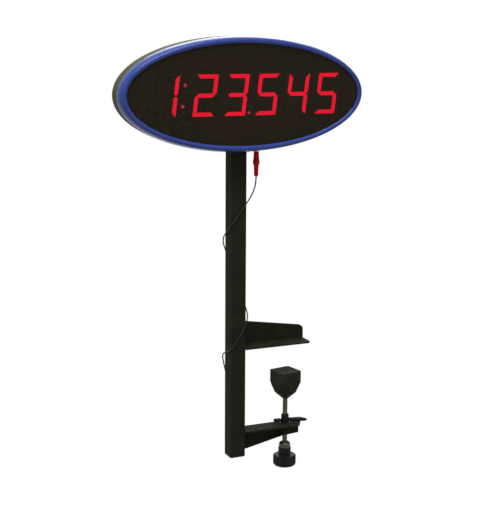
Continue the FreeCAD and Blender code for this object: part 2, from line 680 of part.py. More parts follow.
def lever_nut():
    bore = "screw_radius + thread_play"
    node("lock_washer", turned("lock_washer", [
        (bore, "-arm_top + seat_gap"),
        ("washer_radius", "-arm_top + seat_gap"),
        ("washer_radius", "-arm_top + seat_gap + washer_thick"),
        (bore, "-arm_top + seat_gap + washer_thick"),
    ]))
    foot = "(-arm_top + 2 * seat_gap + washer_thick)"
    hub = rod("lever_hub", "hub_radius", ("0", "0", foot), f"{LEVER_TOP} - {foot}")
    rounded_hub = eased("lever_hub_eased", "Chamfer", hub, "screw_chamfer",
                        lambda box: near(box.ZMin, LEVER_TOP))
    plan_body = new_body("lever_plan")
    plan = outline(plan_body, "lever_plan_outline", "XY", [
        ("-lever_tail", "-lever_tail_width / 2"),
        ("0", "-lever_hub_width / 2"),
        ("hub_radius", "-lever_neck_width / 2"),
        ("lever_crest", "-lever_width / 2"),
        ("lever_reach", "-lever_tip_width / 2"),
        ("lever_reach", "lever_tip_width / 2"),
        ("lever_crest", "lever_width / 2"),
        ("hub_radius", "lever_neck_width / 2"),
        ("0", "lever_hub_width / 2"),
        ("-lever_tail", "lever_tail_width / 2"),
    ], foot)
    pad(plan_body, "lever_plan_pad", plan, f"{LEVER_TOP} - {foot}")
    root = f"({LEVER_TOP} - lever_root)"
    tip_foot = f"({root} - lever_thick - lever_tip_droop)"
    side_body = new_body("lever_side")
    side = outline(side_body, "lever_side_outline", "XZ", [
        ("-lever_tail", f"{root} - lever_thick"),
        ("hub_radius", f"{root} - lever_thick"),
        ("lever_crest", f"{root} - lever_thick - lever_droop"),
        ("lever_reach", tip_foot),
        ("lever_reach", f"{tip_foot} + lever_tip_thick"),
        ("lever_crest", f"{root} - lever_droop"),
        ("hub_radius", root),
        ("-lever_tail", root),
    ], "-lever_width / 2")
    pad(side_body, "lever_side_pad", side, "lever_width")
    wings = overlap("lever_wings", plan_body, side_body)
    hole = rod("lever_bore", bore, ("0", "0", foot), f"{LEVER_TOP} - {foot}")
    whole = cut("lever_whole", fuse("lever_solid", rounded_hub, wings), hole)
    whole.setExpression("Placement.Rotation.Angle", formula("lever_angle"))
    node("lock_lever", whole)


# ---- the display head ------------------------------------------------------------------------------


def window_size(land="0"):
    """Half the width and half the height of the window's opening, or of an oval round it."""
    return f"head_half_width - ring_side + {land}", f"head_half_height - ring_top + {land}"


def bezel():
    outer = oval_plate("bezel_outer", "head_half_width", "head_half_height", HEAD_FRONT,
                       "bezel_depth")
    rounded = eased("bezel_rounded", "Fillet", outer, "bezel_round",
                    lambda box: near(box.YMin, HEAD_FRONT) and box.YLength < 0.01)
    opening = oval_plate("window_opening", *window_size(), HEAD_FRONT, "bezel_depth")
    seat = oval_plate("window_seat", *window_size("window_land"), WINDOW_FRONT,
                      "bezel_depth - window_recess")
    cavity = oval_plate("bezel_cavity", "head_half_width - bezel_wall",
                        "head_half_height - bezel_wall", f"{HEAD_FRONT} + bezel_lip",
                        "bezel_depth - bezel_lip")
    node("bezel", cut("bezel_whole", rounded, opening, seat, cavity))


def window():
    node("window", oval_plate("window_plate", *window_size("window_land - chassis_gap"),
                              WINDOW_FRONT, "window_thick"))


def boss_places():
    """The six housing screws, on an oval round the digits, as X and Z formulas."""
    for turn in range(0, 360, 60):
        x = head_x(f"{BOSS_X} * cos({turn})")
        z = f"(head_height + {BOSS_Z} * sin({turn}))"
        yield turn, x, z


def chassis():
    """The plate behind the window: it frames the digits and takes the housing screws."""
    plate = oval_plate("chassis_plate", "head_half_width - bezel_wall - fit_gap",
                       "head_half_height - bezel_wall - fit_gap", CHASSIS_FRONT,
                       "chassis_thick")
    frames = []
    for index in range(1, 7):
        left = head_x(f"({module_right(index)} - {MODULE_WIDTH} - fit_gap)")
        frames.append(block(f"digit_frame_{index}", (left, CHASSIS_FRONT,
                                                     "head_height - module_height / 2 - fit_gap"),
                            (f"{MODULE_WIDTH} + 2 * fit_gap", "chassis_thick",
                             "module_height + 2 * fit_gap")))
    bosses = []
    holes = []
    depth = f"({SHELL_FRONT} - {CHASSIS_FRONT} - chassis_thick)"
    for turn, x, z in boss_places():
        start = (x, f"{CHASSIS_FRONT} + chassis_thick", z)
        bosses.append(rod(f"chassis_boss_{turn}", "screw_boss_radius", start, depth, "Y"))
        holes.append(rod(f"chassis_hole_{turn}", "housing_screw_radius", start, depth, "Y"))
    solid = fuse("chassis_solid", cut("chassis_ring", plate, *frames), *bosses)
    node("chassis", cut("chassis_whole", solid, *holes))


def shell_size(inset="0"):
    """Half the width and half the height of the rear shell, or of an oval inside it."""
    return (f"head_half_width - shell_step_x - {inset}",
            f"head_half_height - shell_step_z - {inset}")


def rear_shell():
    outer = oval_plate("shell_outer", *shell_size(), SHELL_FRONT,
                       f"shell_back - {SHELL_FRONT}")
    rounded = eased("shell_rounded", "Fillet", outer, "shell_round",
                    lambda box: near(box.YMin, "shell_back") and box.YLength < 0.01)
    cavity = oval_plate("shell_cavity", *shell_size("shell_wall"), SHELL_FRONT,
                        f"{SHELL_INSIDE} - {SHELL_FRONT}")
    tongue_size = ("head_half_width - bezel_wall - fit_gap",
                   "head_half_height - bezel_wall - fit_gap")
    start = f"{SHELL_FRONT} - tongue_reach"
    depth = "tongue_reach + tongue_root"
    ring = oval_plate("tongue_outer", *tongue_size, start, depth)
    bore = oval_plate("tongue_bore", *(f"{half} - tongue_wall" for half in tongue_size), start,
                      depth)
    jack_at = (head_x("jack_x"), "jack_y", f"{HEAD_FOOT} - socket_proud")
    body_width, body_height = switch_body()
    openings = [
        socket_block("socket_hole"),
        rod("jack_hole", "jack_radius", jack_at, "jack_length"),
        rod("power_hole", "power_radius",
            (head_x("power_x"), SHELL_INSIDE, head_z("power_drop")), "back_wall", "Y"),
        rod("button_hole", "button_radius + button_gap + button_wall",
            (head_x("button_x"), SHELL_INSIDE, head_z("button_drop")), "back_wall", "Y"),
        block("switch_hole", (head_x(f"(switch_x - {body_width} / 2)"), SHELL_INSIDE,
                              head_z(f"(switch_drop + {body_height} / 2)")),
              (body_width, "back_wall", body_height)),
    ]
    hollow = cut("shell_hollow", rounded, cavity, *openings)
    tongue = cut("tongue", ring, bore, socket_block("tongue_gap"))
    bosses = []
    holes = []
    for turn, x, z in boss_places():
        foot = (x, SHELL_FRONT, z)
        inside = f"({SHELL_INSIDE} - {SHELL_FRONT})"
        bosses.append(rod(f"shell_boss_{turn}", "screw_boss_radius", foot, inside, "Y"))
        holes.append(rod(f"shell_hole_{turn}", "housing_screw_radius", foot, inside, "Y"))
        holes.append(rod(f"counterbore_{turn}", "counterbore_radius", (x, SHELL_INSIDE, z),
                         "back_wall", "Y"))
    solid = fuse("shell_solid", hollow, tongue, *bosses)
    node("rear_shell", cut("shell_whole", solid, *holes))


def switch_body():
    """Width and height of the switch's body, inside the rim of its frame."""
    return "(switch_width - 2 * switch_rim)", "(switch_height - 2 * switch_rim)"


def socket_block(name):
    """The outside of the post socket, from under the head to above the post."""
    half = "(tube_side / 2 + socket_play + socket_wall)"
    foot = f"({HEAD_FOOT} - socket_proud)"
    return block(name, (f"{POST_X} - {half}", f"-{half}", foot),
                 (f"2 * {half}", f"{half} + {SHELL_INSIDE}",
                  f"{POST_TOP} + seat_gap + socket_wall - {foot}"))


def post_socket():
    half = "(tube_side / 2 + socket_play)"
    foot = f"({HEAD_FOOT} - socket_proud)"
    bore = block("socket_bore", (f"{POST_X} - {half}", f"-{half}", foot),
                 (f"2 * {half}", f"2 * {half}", f"{POST_TOP} + seat_gap - {foot}"))
    node("post_socket", cut("socket_whole", socket_block("socket_outer"), bore))


def housing_screws():
    screws = []
    for turn, x, z in boss_places():
        head = rod(f"screw_head_{turn}", "screw_head_radius", (x, SHELL_INSIDE, z),
                   "screw_head_height", "Y")
        shank = rod(f"screw_shank_{turn}", "housing_screw_radius",
                    (x, f"{SHELL_INSIDE} - housing_screw_length", z), "housing_screw_length",
                    "Y")
        screws.append(fuse(f"housing_screw_{turn}", head, shank))
    node("housing_screws", together("housing_screw_set", *screws))


# ---- the digits ------------------------------------------------------------------------------------


def module_right(index):
    """The right edge of a digit module, the first being 1, from the display's centre."""
    if index == 1:
        return f"(row_left - head_half_width + {MODULE_WIDTH})"
    after = 6 - index
    return f"(head_half_width - row_right - {after} * ({MODULE_WIDTH} + module_gap))"


def segment_lines():
    """The two ends of each segment's middle line, from the digit's lower left corner."""
    half = number("digit_stroke") / 2
    left, right = half, number(DIGIT_WIDTH) - half
    low, middle, high = half, number("digit_height") / 2, number("digit_height") - half
    return {
        "a": ((left, high), (right, high)),
        "b": ((right, high), (right, middle)),
        "c": ((right, middle), (right, low)),
        "d": ((left, low), (right, low)),
        "e": ((left, middle), (left, low)),
        "f": ((left, high), (left, middle)),
        "g": ((left, middle), (right, middle)),
    }


def lit_segment(start, end):
    """One segment, a slanted bar: mitred where it ends at a corner, pointed at the middle."""
    lean = math.tan(math.radians(number("digit_slant")))
    half = number("digit_stroke") / 2
    centre = FreeCAD.Vector(number(DIGIT_WIDTH) / 2, number("digit_height") / 2, 0)
    first, last = FreeCAD.Vector(*start, 0), FreeCAD.Vector(*end, 0)
    along = (last - first).normalize()
    out = FreeCAD.Vector(-along.y, along.x, 0) * half
    if out.dot(first - centre) < 0:
        out = -out
    flat = []
    for tip, ahead in ((first, -along), (last, along)):
        tip = tip - ahead * number("segment_gap")
        if abs(tip.y - centre.y) < half:
            corners = [tip - ahead * half + out, tip, tip - ahead * half - out]
        else:
            corners = [tip + ahead * half + out, tip - ahead * half - out]
        flat += corners[::-1] if not flat else corners
    upright = [FreeCAD.Vector(point.x + lean * point.y, 0, point.y) for point in flat]
    face = Part.Face(Part.makePolygon(upright + upright[:1]))
    return face.extrude(FreeCAD.Vector(0, number("segment_proud"), 0))


def digits():
    lines = segment_lines()
    for index, letters in enumerate(LIT, start=1):
        right = module_right(index)
        node(f"digit_module_{index}", block(
            f"digit_module_{index}", (head_x(f"({right} - {MODULE_WIDTH})"), MODULE_FRONT,
                                      "head_height - module_height / 2"),
            (MODULE_WIDTH, "module_depth", "module_height")))
        lit = doc.addObject("Part::Feature", f"digit_{index}_lit")
        lit.Shape = Part.Compound([lit_segment(*lines[letter]) for letter in letters])
        margin = "first_module_margin" if index == 1 else "module_margin"
        corner = head_x(f"({right} - {margin} - {DIGIT_WIDTH} - {DIGIT_LEAN})")
        lit.Placement = FreeCAD.Placement(FreeCAD.Vector(
            number(corner), number(f"{MODULE_FRONT} - segment_proud"),
            number("head_height - digit_height / 2")), FreeCAD.Rotation())
        node(f"digit_{index}_lit", lit)


def dots():
    """The colon's two dots and the decimal point."""
    front = f"{MODULE_FRONT} - segment_proud"
    colon = f"{module_right(1)} - colon_inset"
    places = [(f"{colon} + colon_spread * tan(digit_slant)", "-colon_spread", "dot_radius"),
              (f"{colon} - colon_spread * tan(digit_slant)", "colon_spread", "dot_radius"),
              (f"{module_right(3)} - point_inset", "point_drop", "point_radius")]
    lamps = []
    for index, (x, drop, radius) in enumerate(places):
        lamps.append(rod(f"dot_{index}", radius, (head_x(f"({x})"), front, head_z(f"({drop})")),
                         "segment_proud", "Y"))
    node("lit_dots", together("dot_set", *lamps))


# ---- boards and fittings in the head -----------------------------------------------------------------


def boards():
    display = block("display_board", (head_x(BOARD_LEFT), BOARD_FRONT,
                                      "head_height - board_half_height"),
                    (f"{BOARD_RIGHT} - {BOARD_LEFT}", "board_thick", "2 * board_half_height"))
    node("display_board", display)
    pillars = []
    for side_x in (f"({BOARD_LEFT} + pillar_inset)", f"({BOARD_RIGHT} - pillar_inset)"):
        for sign in "+-":
            start = (head_x(side_x), BOARD_BACK,
                     f"head_height {sign} (board_half_height - pillar_inset)")
            pillars.append(rod("pillar", "pillar_radius", start,
                               f"{SHELL_INSIDE} - {BOARD_BACK}", "Y"))
    node("board_pillars", together("pillar_set", *pillars))
    node("control_board", block("control_board", (head_x(CONTROL_LEFT), "control_front",
                                                  head_z("control_drop")),
                                (f"{CONTROL_RIGHT} - {CONTROL_LEFT}", "board_thick",
                                 "control_height")))
    spacers = []
    control_back = "(control_front + board_thick)"
    for x in (f"({CONTROL_LEFT} + spacer_inset)", f"({CONTROL_RIGHT} - spacer_inset)"):
        for drop in ("(control_drop - spacer_inset)",
                     "(control_drop - control_height + spacer_inset)"):
            spacers.append(rod("spacer", "spacer_radius",
                               (head_x(x), control_back, head_z(drop)),
                               f"{SHELL_INSIDE} - {control_back}", "Y"))
    node("control_spacers", together("spacer_set", *spacers))
    node("ribbon_cable", block("ribbon_cable", (
        head_x(f"(({CONTROL_LEFT} + {CONTROL_RIGHT} - ribbon_width) / 2)"), BOARD_BACK,
        head_z("ribbon_drop")), ("ribbon_width", f"control_front - {BOARD_BACK}",
                                 "ribbon_thick")))
    node("buzzer", rod("buzzer", "buzzer_radius",
                       (head_x("buzzer_x"), f"{SHELL_INSIDE} - buzzer_depth", "head_height"),
                       "buzzer_depth", "Y"))


def data_jack():
    """The jack in the head's underside and the nut that holds it there."""
    x = head_x("jack_x")
    foot = f"({HEAD_FOOT} - socket_proud)"
    body = rod("jack_body", "jack_radius", (x, "jack_y", foot), "jack_length")
    bore = rod("jack_bore", "plug_pin_radius + pin_play", (x, "jack_y", foot), "jack_length")
    node("data_jack", cut("jack_whole", body, bore))
    nut = rod("jack_nut_body", "jack_nut_radius", (x, "jack_y", foot), "jack_nut_height")
    hole = rod("jack_nut_hole", "jack_radius", (x, "jack_y", foot), "jack_nut_height")
    shell = oval_plate("jack_nut_clear", *shell_size(), SHELL_FRONT,
                       f"shell_back - {SHELL_FRONT}")
    node("jack_nut", cut("jack_nut_whole", nut, hole, shell))


def power_jack():
    x, z = head_x("power_x"), head_z("power_drop")
    start = "(control_front + board_thick)"
    length = f"(shell_back + power_proud - {start})"
    body = rod("power_body", "power_radius", (x, start, z), length, "Y")
    mouth = rod("power_mouth", "power_bore",
                (x, "shell_back + power_proud - power_bore_depth", z), "power_bore_depth", "Y")
    node("power_jack", cut("power_whole", body, mouth))
    node("power_pin", rod("power_pin", "power_pin_radius",
                          (x, "shell_back + power_proud - power_bore_depth", z),
                          "power_pin_length", "Y"))


def power_switch():
    """A rocker switch in the back of the shell: a frame with a hollow body, and its rocker."""
    x, z = head_x("switch_x"), head_z("switch_drop")
    width, height = switch_body()
    rim = block("switch_rim_plate", (f"{x} - switch_width / 2", "shell_back",
                                     f"{z} - switch_height / 2"),
                ("switch_width", "switch_rim", "switch_height"))
    body = block("switch_case", (f"{x} - {width} / 2", "shell_back - switch_depth",
                                 f"{z} - {height} / 2"), (width, "switch_depth", height))
    gap_width = "(rocker_width + 2 * rocker_gap)"
    gap_height = "(rocker_height + 2 * rocker_gap)"
    well = block("switch_well", (f"{x} - {gap_width} / 2",
                                 "shell_back - switch_depth + switch_rim",
                                 f"{z} - {gap_height} / 2"),
                 (gap_width, "switch_depth", gap_height))
    axle_y = "(shell_back - rocker_depth / 4)"
    axle_hole = rod("rocker_axle_hole", "rocker_axle + axle_play",
                    (f"{x} - {width} / 2", axle_y, z), width, "X")
    node("switch_frame", cut("switch_hollow", fuse("switch_solid", rim, body), well,
                             axle_hole))
    paddle = block("rocker_paddle", ("-rocker_width / 2", "-rocker_depth / 2",
                                     "-rocker_height / 2"),
                   ("rocker_width", "rocker_depth", "rocker_height"))
    eased_paddle = eased("rocker_eased", "Fillet", paddle, "switch_rim / 2",
                         lambda box: box.XLength > 1)
    axle = rod("rocker_axle", "rocker_axle", (f"axle_play - {width} / 2", "0", "0"),
               f"{width} - 2 * axle_play", "X")
    tilt = FreeCAD.Rotation(FreeCAD.Vector(1, 0, 0), number("rocker_tilt"))
    rocker = fuse("rocker_whole", eased_paddle, axle)
    rocker.Placement = FreeCAD.Placement(FreeCAD.Vector(), tilt)
    place(rocker, x, axle_y, z)
    node("switch_rocker", rocker)


def push_button():
    """A push button in the back of the shell, sprung out of a round housing."""
    x, z = head_x("button_x"), head_z("button_drop")
    bore = "(button_radius + button_gap)"
    wall = f"({bore} + button_wall)"
    case = rod("button_case", wall, (x, "shell_back - button_inside", z), "button_inside", "Y")
    rim = rod("button_rim_plate", f"{wall} + button_rim", (x, "shell_back", z), "button_rim",
              "Y")
    well = rod("button_well", bore, (x, "shell_back - button_inside + button_rim", z),
               "button_inside + button_rim", "Y")
    node("button_housing", cut("button_hollow", fuse("button_solid", case, rim), well))
    node("push_button", rod("push_button", "button_radius",
                            (x, "shell_back - button_inside + 3 * button_rim", z),
                            "button_inside - 3 * button_rim + button_rim + button_proud", "Y"))


# ---- the data lead -----------------------------------------------------------------------------------


def data_plug(x, y, tip):
    """The jack plug under the head, pin up, and the foot of its strain relief."""
    pin = rod("data_plug_bar", "plug_pin_radius", (x, y, f"{tip} - plug_pin_length"),
              "plug_pin_length")
    node("data_plug_pin", eased("data_pin_eased", "Chamfer", pin, "plug_pin_radius / 2",
                                lambda box: near(box.ZMin, tip)))
    barrel_foot = f"({tip} - plug_pin_length - plug_barrel)"
    barrel = doc.addObject("Part::Cone", "data_barrel_bar")
    bind(barrel, Radius1="plug_barrel_radius", Radius2="plug_barrel_top", Height="plug_barrel")
    place(barrel, x, y, barrel_foot)
    node("data_plug_barrel", eased("data_barrel_eased", "Chamfer", barrel,
                                   "plug_barrel_top / 6",
                                   lambda box: near(box.ZMin, f"{barrel_foot} + plug_barrel")))
    grip = doc.addObject("Part::Prism", "data_grip_bar")
    grip.Polygon = 8
    bind(grip, Circumradius="plug_grip_radius", Height="plug_grip")
    place(grip, x, y, f"{barrel_foot} - plug_grip")
    node("data_plug_grip", eased("data_grip_eased", "Chamfer", grip, "plug_grip_radius / 8",
                                 lambda box: box.ZLength < 0.01))
    boot = doc.addObject("Part::Cone", "data_plug_boot")
    bind(boot, Radius1="plug_boot_radius * 0.9", Radius2="plug_boot_radius",
         Height="plug_boot")
    boot_foot = f"({barrel_foot} - plug_grip - plug_boot)"
    place(boot, x, y, boot_foot)
    node("data_plug_boot", boot)
    return boot_foot


def far_plug(x, y):
    """The plug on the lead's other end, which hangs pin down behind the post, and its top."""
    tip = "(-far_plug_tip)"
    pin = rod("far_pin_bar", "plug_pin_radius", (x, y, tip), "plug_pin_length")
    node("far_plug_pin", eased("far_pin_eased", "Chamfer", pin, "plug_pin_radius / 2",
                               lambda box: near(box.ZMax, tip)))
    barrel_foot = f"({tip} + plug_pin_length)"
    node("far_plug_barrel", rod("far_plug_barrel", "plug_barrel_radius", (x, y, barrel_foot),
                                "far_plug_barrel"))
    return f"({barrel_foot} + far_plug_barrel)"


def rounded_route(points):
    """Straight runs joined by tangent arcs. Each arc is as large as its two runs allow."""
    edges = []
    start = points[0]
    radii = []
    for before, corner, after in zip(points, points[1:], points[2:]):
        back, ahead = before - corner, after - corner
        half_turn = (math.pi - back.getAngle(ahead)) / 2
        reach = 0.45 * min(back.Length, ahead.Length)
        radii.append(reach / math.tan(half_turn))
        back.normalize()
        ahead.normalize()
        enter, leave = corner + back * reach, corner + ahead * reach
        centre_line = (back + ahead).normalize()
        depth = radii[-1] / math.cos(half_turn) - radii[-1]
        edges.append(Part.LineSegment(start, enter).toShape())
        edges.append(Part.Arc(enter, corner + centre_line * depth, leave).toShape())
        start = leave
    edges.append(Part.LineSegment(start, points[-1]).toShape())
    return Part.Wire(edges), radii


def cord_tube(name, route):
    """The lead along a route that is given from the post's middle."""
    radius = number("cord_radius")
    points = [FreeCAD.Vector(*point) for point in route]
    wire, radii = rounded_route(points)
    first = (points[1] - points[0]).normalize()
    ring = Part.Wire(Part.makeCircle(radius, points[0], first))
    tube = wire.makePipeShell([ring], True, True)
    expected = math.pi * radius ** 2 * wire.Length
    print(name, "length", round(wire.Length, 1), "radii", [round(value, 1) for value in radii])
    print(name, "volume over section times length", round(tube.Volume / expected, 4))
    cord = doc.addObject("Part::Feature", name)
    cord.Shape = tube
    cord.Placement = FreeCAD.Placement(FreeCAD.Vector(number(POST_X), 0, 0),
                                       FreeCAD.Rotation())
    node(name, cord)


def coil_hook():
    """A stick-on hook on the back of the post, through the ring of the coiled lead."""
    x = f"({POST_X} + coil_x)"
    plate_x = f"({POST_X} + {HALF_TUBE} - hook_width - hook_inset)"
    peg_z = "(-coil_drop + coil_ring - coil_bundle - hook_peg - seat_gap)"
    plate = block("hook_back", (plate_x, HALF_TUBE, f"{peg_z} - hook_height / 2"),
                  ("hook_width", "hook_plate", "hook_height"))
    peg_start = f"({HALF_TUBE} + hook_plate)"
    peg_length = "(2 * coil_bundle + 3 * fit_gap)"
    peg = rod("hook_peg_bar", "hook_peg", (x, peg_start, peg_z), peg_length, "Y")
    end = rod("hook_disc", "hook_end", (x, f"{peg_start} + {peg_length}", peg_z),
              "hook_end_thick", "Y")
    node("cord_hook", fuse("hook_whole", plate, peg, end))


def coiled_lead():
    ring = doc.addObject("Part::Torus", "cord_coil")
    upright = FreeCAD.Rotation(FreeCAD.Vector(1, 0, 0), 90)
    ring.Placement = FreeCAD.Placement(FreeCAD.Vector(), upright)
    bind(ring, Radius1="coil_ring", Radius2="coil_bundle")
    place(ring, f"{POST_X} + coil_x", COIL_Y, "-coil_drop")
    node("cord_coil", ring)


def data_lead():
    """The lead from the plug under the head, round the post and down to its coil."""
    jack_foot = f"({HEAD_FOOT} - socket_proud)"
    tip = f"({jack_foot} - fit_gap + plug_pin_length)"
    boot_foot = data_plug(head_x("jack_x"), "jack_y", tip)
    start = (number("jack_x"), number("jack_y"), number(boot_foot))
    coil_y = number(COIL_Y)
    route = [
        start,
        (32.0, -4.0, 261.0),
        (28.5, -8.5, 252.5),
        (22.5, -13.5, 245.5),
        (15.6, -15.8, 236.5),
        (1.5, -15.0, 220.0),
        (-15.6, -15.8, 196.0),
        (-15.2, 0.5, 187.5),
        (-16.0, 15.8, 172.0),
        (-8.0, 18.6, 152.0),
        (2.5, 17.6, 128.0),
        (10.5, 18.2, 102.0),
        (17.0, 15.6, 82.0),
        (17.4, 0.0, 66.0),
        (15.8, -15.8, 50.0),
        (0.0, -15.0, 21.0),
        (-15.6, -15.8, 5.5),
        (-15.2, 0.0, 1.0),
        (-15.8, 14.6, -9.0),
        (-12.5, 18.0, -24.0),
        (-7.5, coil_y, -41.0),
        (-5.6, coil_y, -61.5),
    ]
    cord_tube("data_cord", route)
    far_x, far_y = head_x("far_plug_x"), "(tube_side / 2 + far_plug_gap + plug_grip_radius)"
    far_top = far_plug(far_x, far_y)
    tail = [
        (18.6, coil_y, -77.0),
        (18.9, coil_y, -84.0),
        (16.5, number(far_y), -91.0),
        (12.6, number(far_y), -96.5),
        (number("far_plug_x"), number(far_y), number(far_top)),
    ]
    cord_tube("cord_tail", tail)


post()
upper_jaw()
lower_arm()
threaded_boss()
clamp_screw()
domed_collar()
knob()
pressure_pad()
lever_nut()
bezel()
window()
chassis()
rear_shell()
post_socket()
housing_screws()
digits()
dots()
boards()
data_jack()
power_jack()
power_switch()
push_button()
coil_hook()
coiled_lead()
data_lead()

doc.recompute()
faults = [item.Label for item in doc.Objects if {"Invalid", "Error"} & set(item.State)]
for part in nodes:
    if part.Shape.isNull() or not part.Shape.isValid():
        faults.append(part.Label)
if faults:
    raise RuntimeError("not built: " + ", ".join(faults))

os.makedirs("parts", exist_ok=True)
for part in nodes:
    part.Shape.exportStep(f"parts/{part.Label}.step")
print(len(nodes), "nodes")
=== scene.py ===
import math

import bmesh
import bpy
from mathutils import Matrix, Vector


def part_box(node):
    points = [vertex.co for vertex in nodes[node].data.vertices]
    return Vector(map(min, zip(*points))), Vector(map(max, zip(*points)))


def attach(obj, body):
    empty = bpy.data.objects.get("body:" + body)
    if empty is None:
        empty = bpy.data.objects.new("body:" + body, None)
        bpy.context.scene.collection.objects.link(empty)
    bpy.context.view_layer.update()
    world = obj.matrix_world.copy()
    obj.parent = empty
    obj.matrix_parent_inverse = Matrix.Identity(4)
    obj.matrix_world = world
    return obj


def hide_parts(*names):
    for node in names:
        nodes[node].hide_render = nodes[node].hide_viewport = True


# A digital round timer: an oval display head on a square post with a table clamp at its foot.
# Everything is in metres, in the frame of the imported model: +Z up, +X along the display and
# +Y away from the reader, with the origin where the upper jaw meets the table.

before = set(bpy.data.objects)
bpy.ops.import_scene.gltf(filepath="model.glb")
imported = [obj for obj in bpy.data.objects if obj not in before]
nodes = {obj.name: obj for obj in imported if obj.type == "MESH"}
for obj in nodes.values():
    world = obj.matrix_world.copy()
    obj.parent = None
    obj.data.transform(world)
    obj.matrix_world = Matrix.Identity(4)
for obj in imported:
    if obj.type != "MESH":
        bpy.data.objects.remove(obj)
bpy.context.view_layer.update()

MM = 0.001
FULL_TURN = 2 * math.pi


def middle(node):
    low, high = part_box(node)
    return (low + high) / 2


POST = middle("post")
HEAD = middle("bezel")
SCREW = middle("clamp_screw")


# ---- camera and light ---------------------------------------------------------------------------

VIEW_PLACE = (-0.8271, -1.6693, 0.4960)
VIEW_TURN = math.radians(-24.08)
VIEW_DIP = math.radians(10.79)
VIEW_ROLL = math.radians(0.30)
VIEW_LENS = 84.54
SENSOR_WIDTH = 36


def viewpoint():
    camera = bpy.data.objects.new("viewpoint", bpy.data.cameras.new("viewpoint"))
    bpy.context.scene.collection.objects.link(camera)
    turn = Matrix.Rotation(VIEW_TURN, 4, "Z")
    tilt = Matrix.Rotation(math.radians(90) - VIEW_DIP, 4, "X")
    roll = Matrix.Rotation(VIEW_ROLL, 4, "Z")
    camera.matrix_world = Matrix.Translation(VIEW_PLACE) @ turn @ tilt @ roll
    camera.data.sensor_width = SENSOR_WIDTH
    camera.data.sensor_fit = "AUTO"
    camera.data.lens = VIEW_LENS
    bpy.context.scene.camera = camera


def softbox(name, place, target, size, power):
    """A round soft lamp at a place, turned to its target."""
    lamp = bpy.data.lights.new(name, "AREA")
    lamp.shape = "DISK"
    lamp.size = size
    lamp.energy = power
    box = bpy.data.objects.new(name, lamp)
    bpy.context.scene.collection.objects.link(box)
    aim = Vector(target) - Vector(place)
    box.matrix_world = (Matrix.Translation(place)
                        @ aim.to_track_quat("-Z", "Y").to_matrix().to_4x4())


def shown_or_lighting(tree, shown, lighting):
    """A shader that is one thing to the eye, in gloss and through glass, and another as light."""
    path = tree.nodes.new("ShaderNodeLightPath")
    seen = tree.nodes.new("ShaderNodeMath")
    seen.operation = "MAXIMUM"
    tree.links.new(path.outputs["Is Camera Ray"], seen.inputs[0])
    tree.links.new(path.outputs["Is Glossy Ray"], seen.inputs[1])
    through = tree.nodes.new("ShaderNodeMath")
    through.operation = "MAXIMUM"
    tree.links.new(seen.outputs[0], through.inputs[0])
    tree.links.new(path.outputs["Is Transmission Ray"], through.inputs[1])
    mix = tree.nodes.new("ShaderNodeMixShader")
    tree.links.new(through.outputs[0], mix.inputs[0])
    tree.links.new(lighting, mix.inputs[1])
    tree.links.new(shown, mix.inputs[2])
    return mix.outputs[0]


SHOWN_WHITE = 1.0
SKY_LIGHT = 0.42
SKY_TINT = (0.98, 0.99, 1, 1)
SOFTBOXES = [
    ("overhead", (-0.4, -0.6, 2.1), (-0.1, 0, 0.25), 1.4, 46),
    ("left_side", (-2.0, -0.5, 1.5), (-0.1, 0, 0.3), 1.2, 12),
    ("front", (0.5, -1.9, 1.3), (0, 0, 0.35), 1.2, 4),
    ("behind", (0.8, 2.2, 1.4), (0, 0, 0.2), 1.4, 12),
]


def studio():
    """A white world to the eye and in gloss, a dimmer one as light, and four soft lamps."""
    world = bpy.data.worlds.new("studio")
    bpy.context.scene.world = world
    world.use_nodes = True
    tree = world.node_tree
    tree.nodes.clear()
    pale = tree.nodes.new("ShaderNodeBackground")
    pale.inputs["Strength"].default_value = SHOWN_WHITE
    pale.inputs["Color"].default_value = (1, 1, 1, 1)
    soft = tree.nodes.new("ShaderNodeBackground")
    soft.inputs["Strength"].default_value = SKY_LIGHT
    soft.inputs["Color"].default_value = SKY_TINT
    out = tree.nodes.new("ShaderNodeOutputWorld")
    tree.links.new(shown_or_lighting(tree, pale.outputs[0], soft.outputs[0]), out.inputs[0])
    for name, place, target, size, power in SOFTBOXES:
        softbox(name, place, target, size, power)


FLOOR_HALF = 6.0
FLOOR_LEVEL = -0.75
FLOOR_TONE = (0.5, 0.5, 0.5, 1)
FLOOR_BRIGHT = 0.995


def floor():
    """A plain floor that is nearly white to the eye and mid-grey as light."""
    half, level = FLOOR_HALF, FLOOR_LEVEL
    mesh = bpy.data.meshes.new("floor")
    corners = [(-half, -half, level), (half, -half, level), (half, half, level),
               (-half, half, level)]
    mesh.from_pydata(corners, [], [(0, 1, 2, 3)])
    plane = bpy.data.objects.new("floor", mesh)
    bpy.context.scene.collection.objects.link(plane)
    material = bpy.data.materials.new("pale_floor")
    material.use_nodes = True
    tree = material.node_tree
    tree.nodes.clear()
    matt = tree.nodes.new("ShaderNodeBsdfDiffuse")
    matt.inputs["Color"].default_value = FLOOR_TONE
    bright = tree.nodes.new("ShaderNodeEmission")
    bright.inputs["Color"].default_value = (1, 1, 1, 1)
    shaded = tree.nodes.new("ShaderNodeMixShader")
    shaded.inputs[0].default_value = FLOOR_BRIGHT
    tree.links.new(matt.outputs[0], shaded.inputs[1])
    tree.links.new(bright.outputs[0], shaded.inputs[2])
    out = tree.nodes.new("ShaderNodeOutputMaterial")
    tree.links.new(shown_or_lighting(tree, shaded.outputs[0], matt.outputs[0]), out.inputs[0])
    mesh.materials.append(material)


# ---- finishes -----------------------------------------------------------------------------------


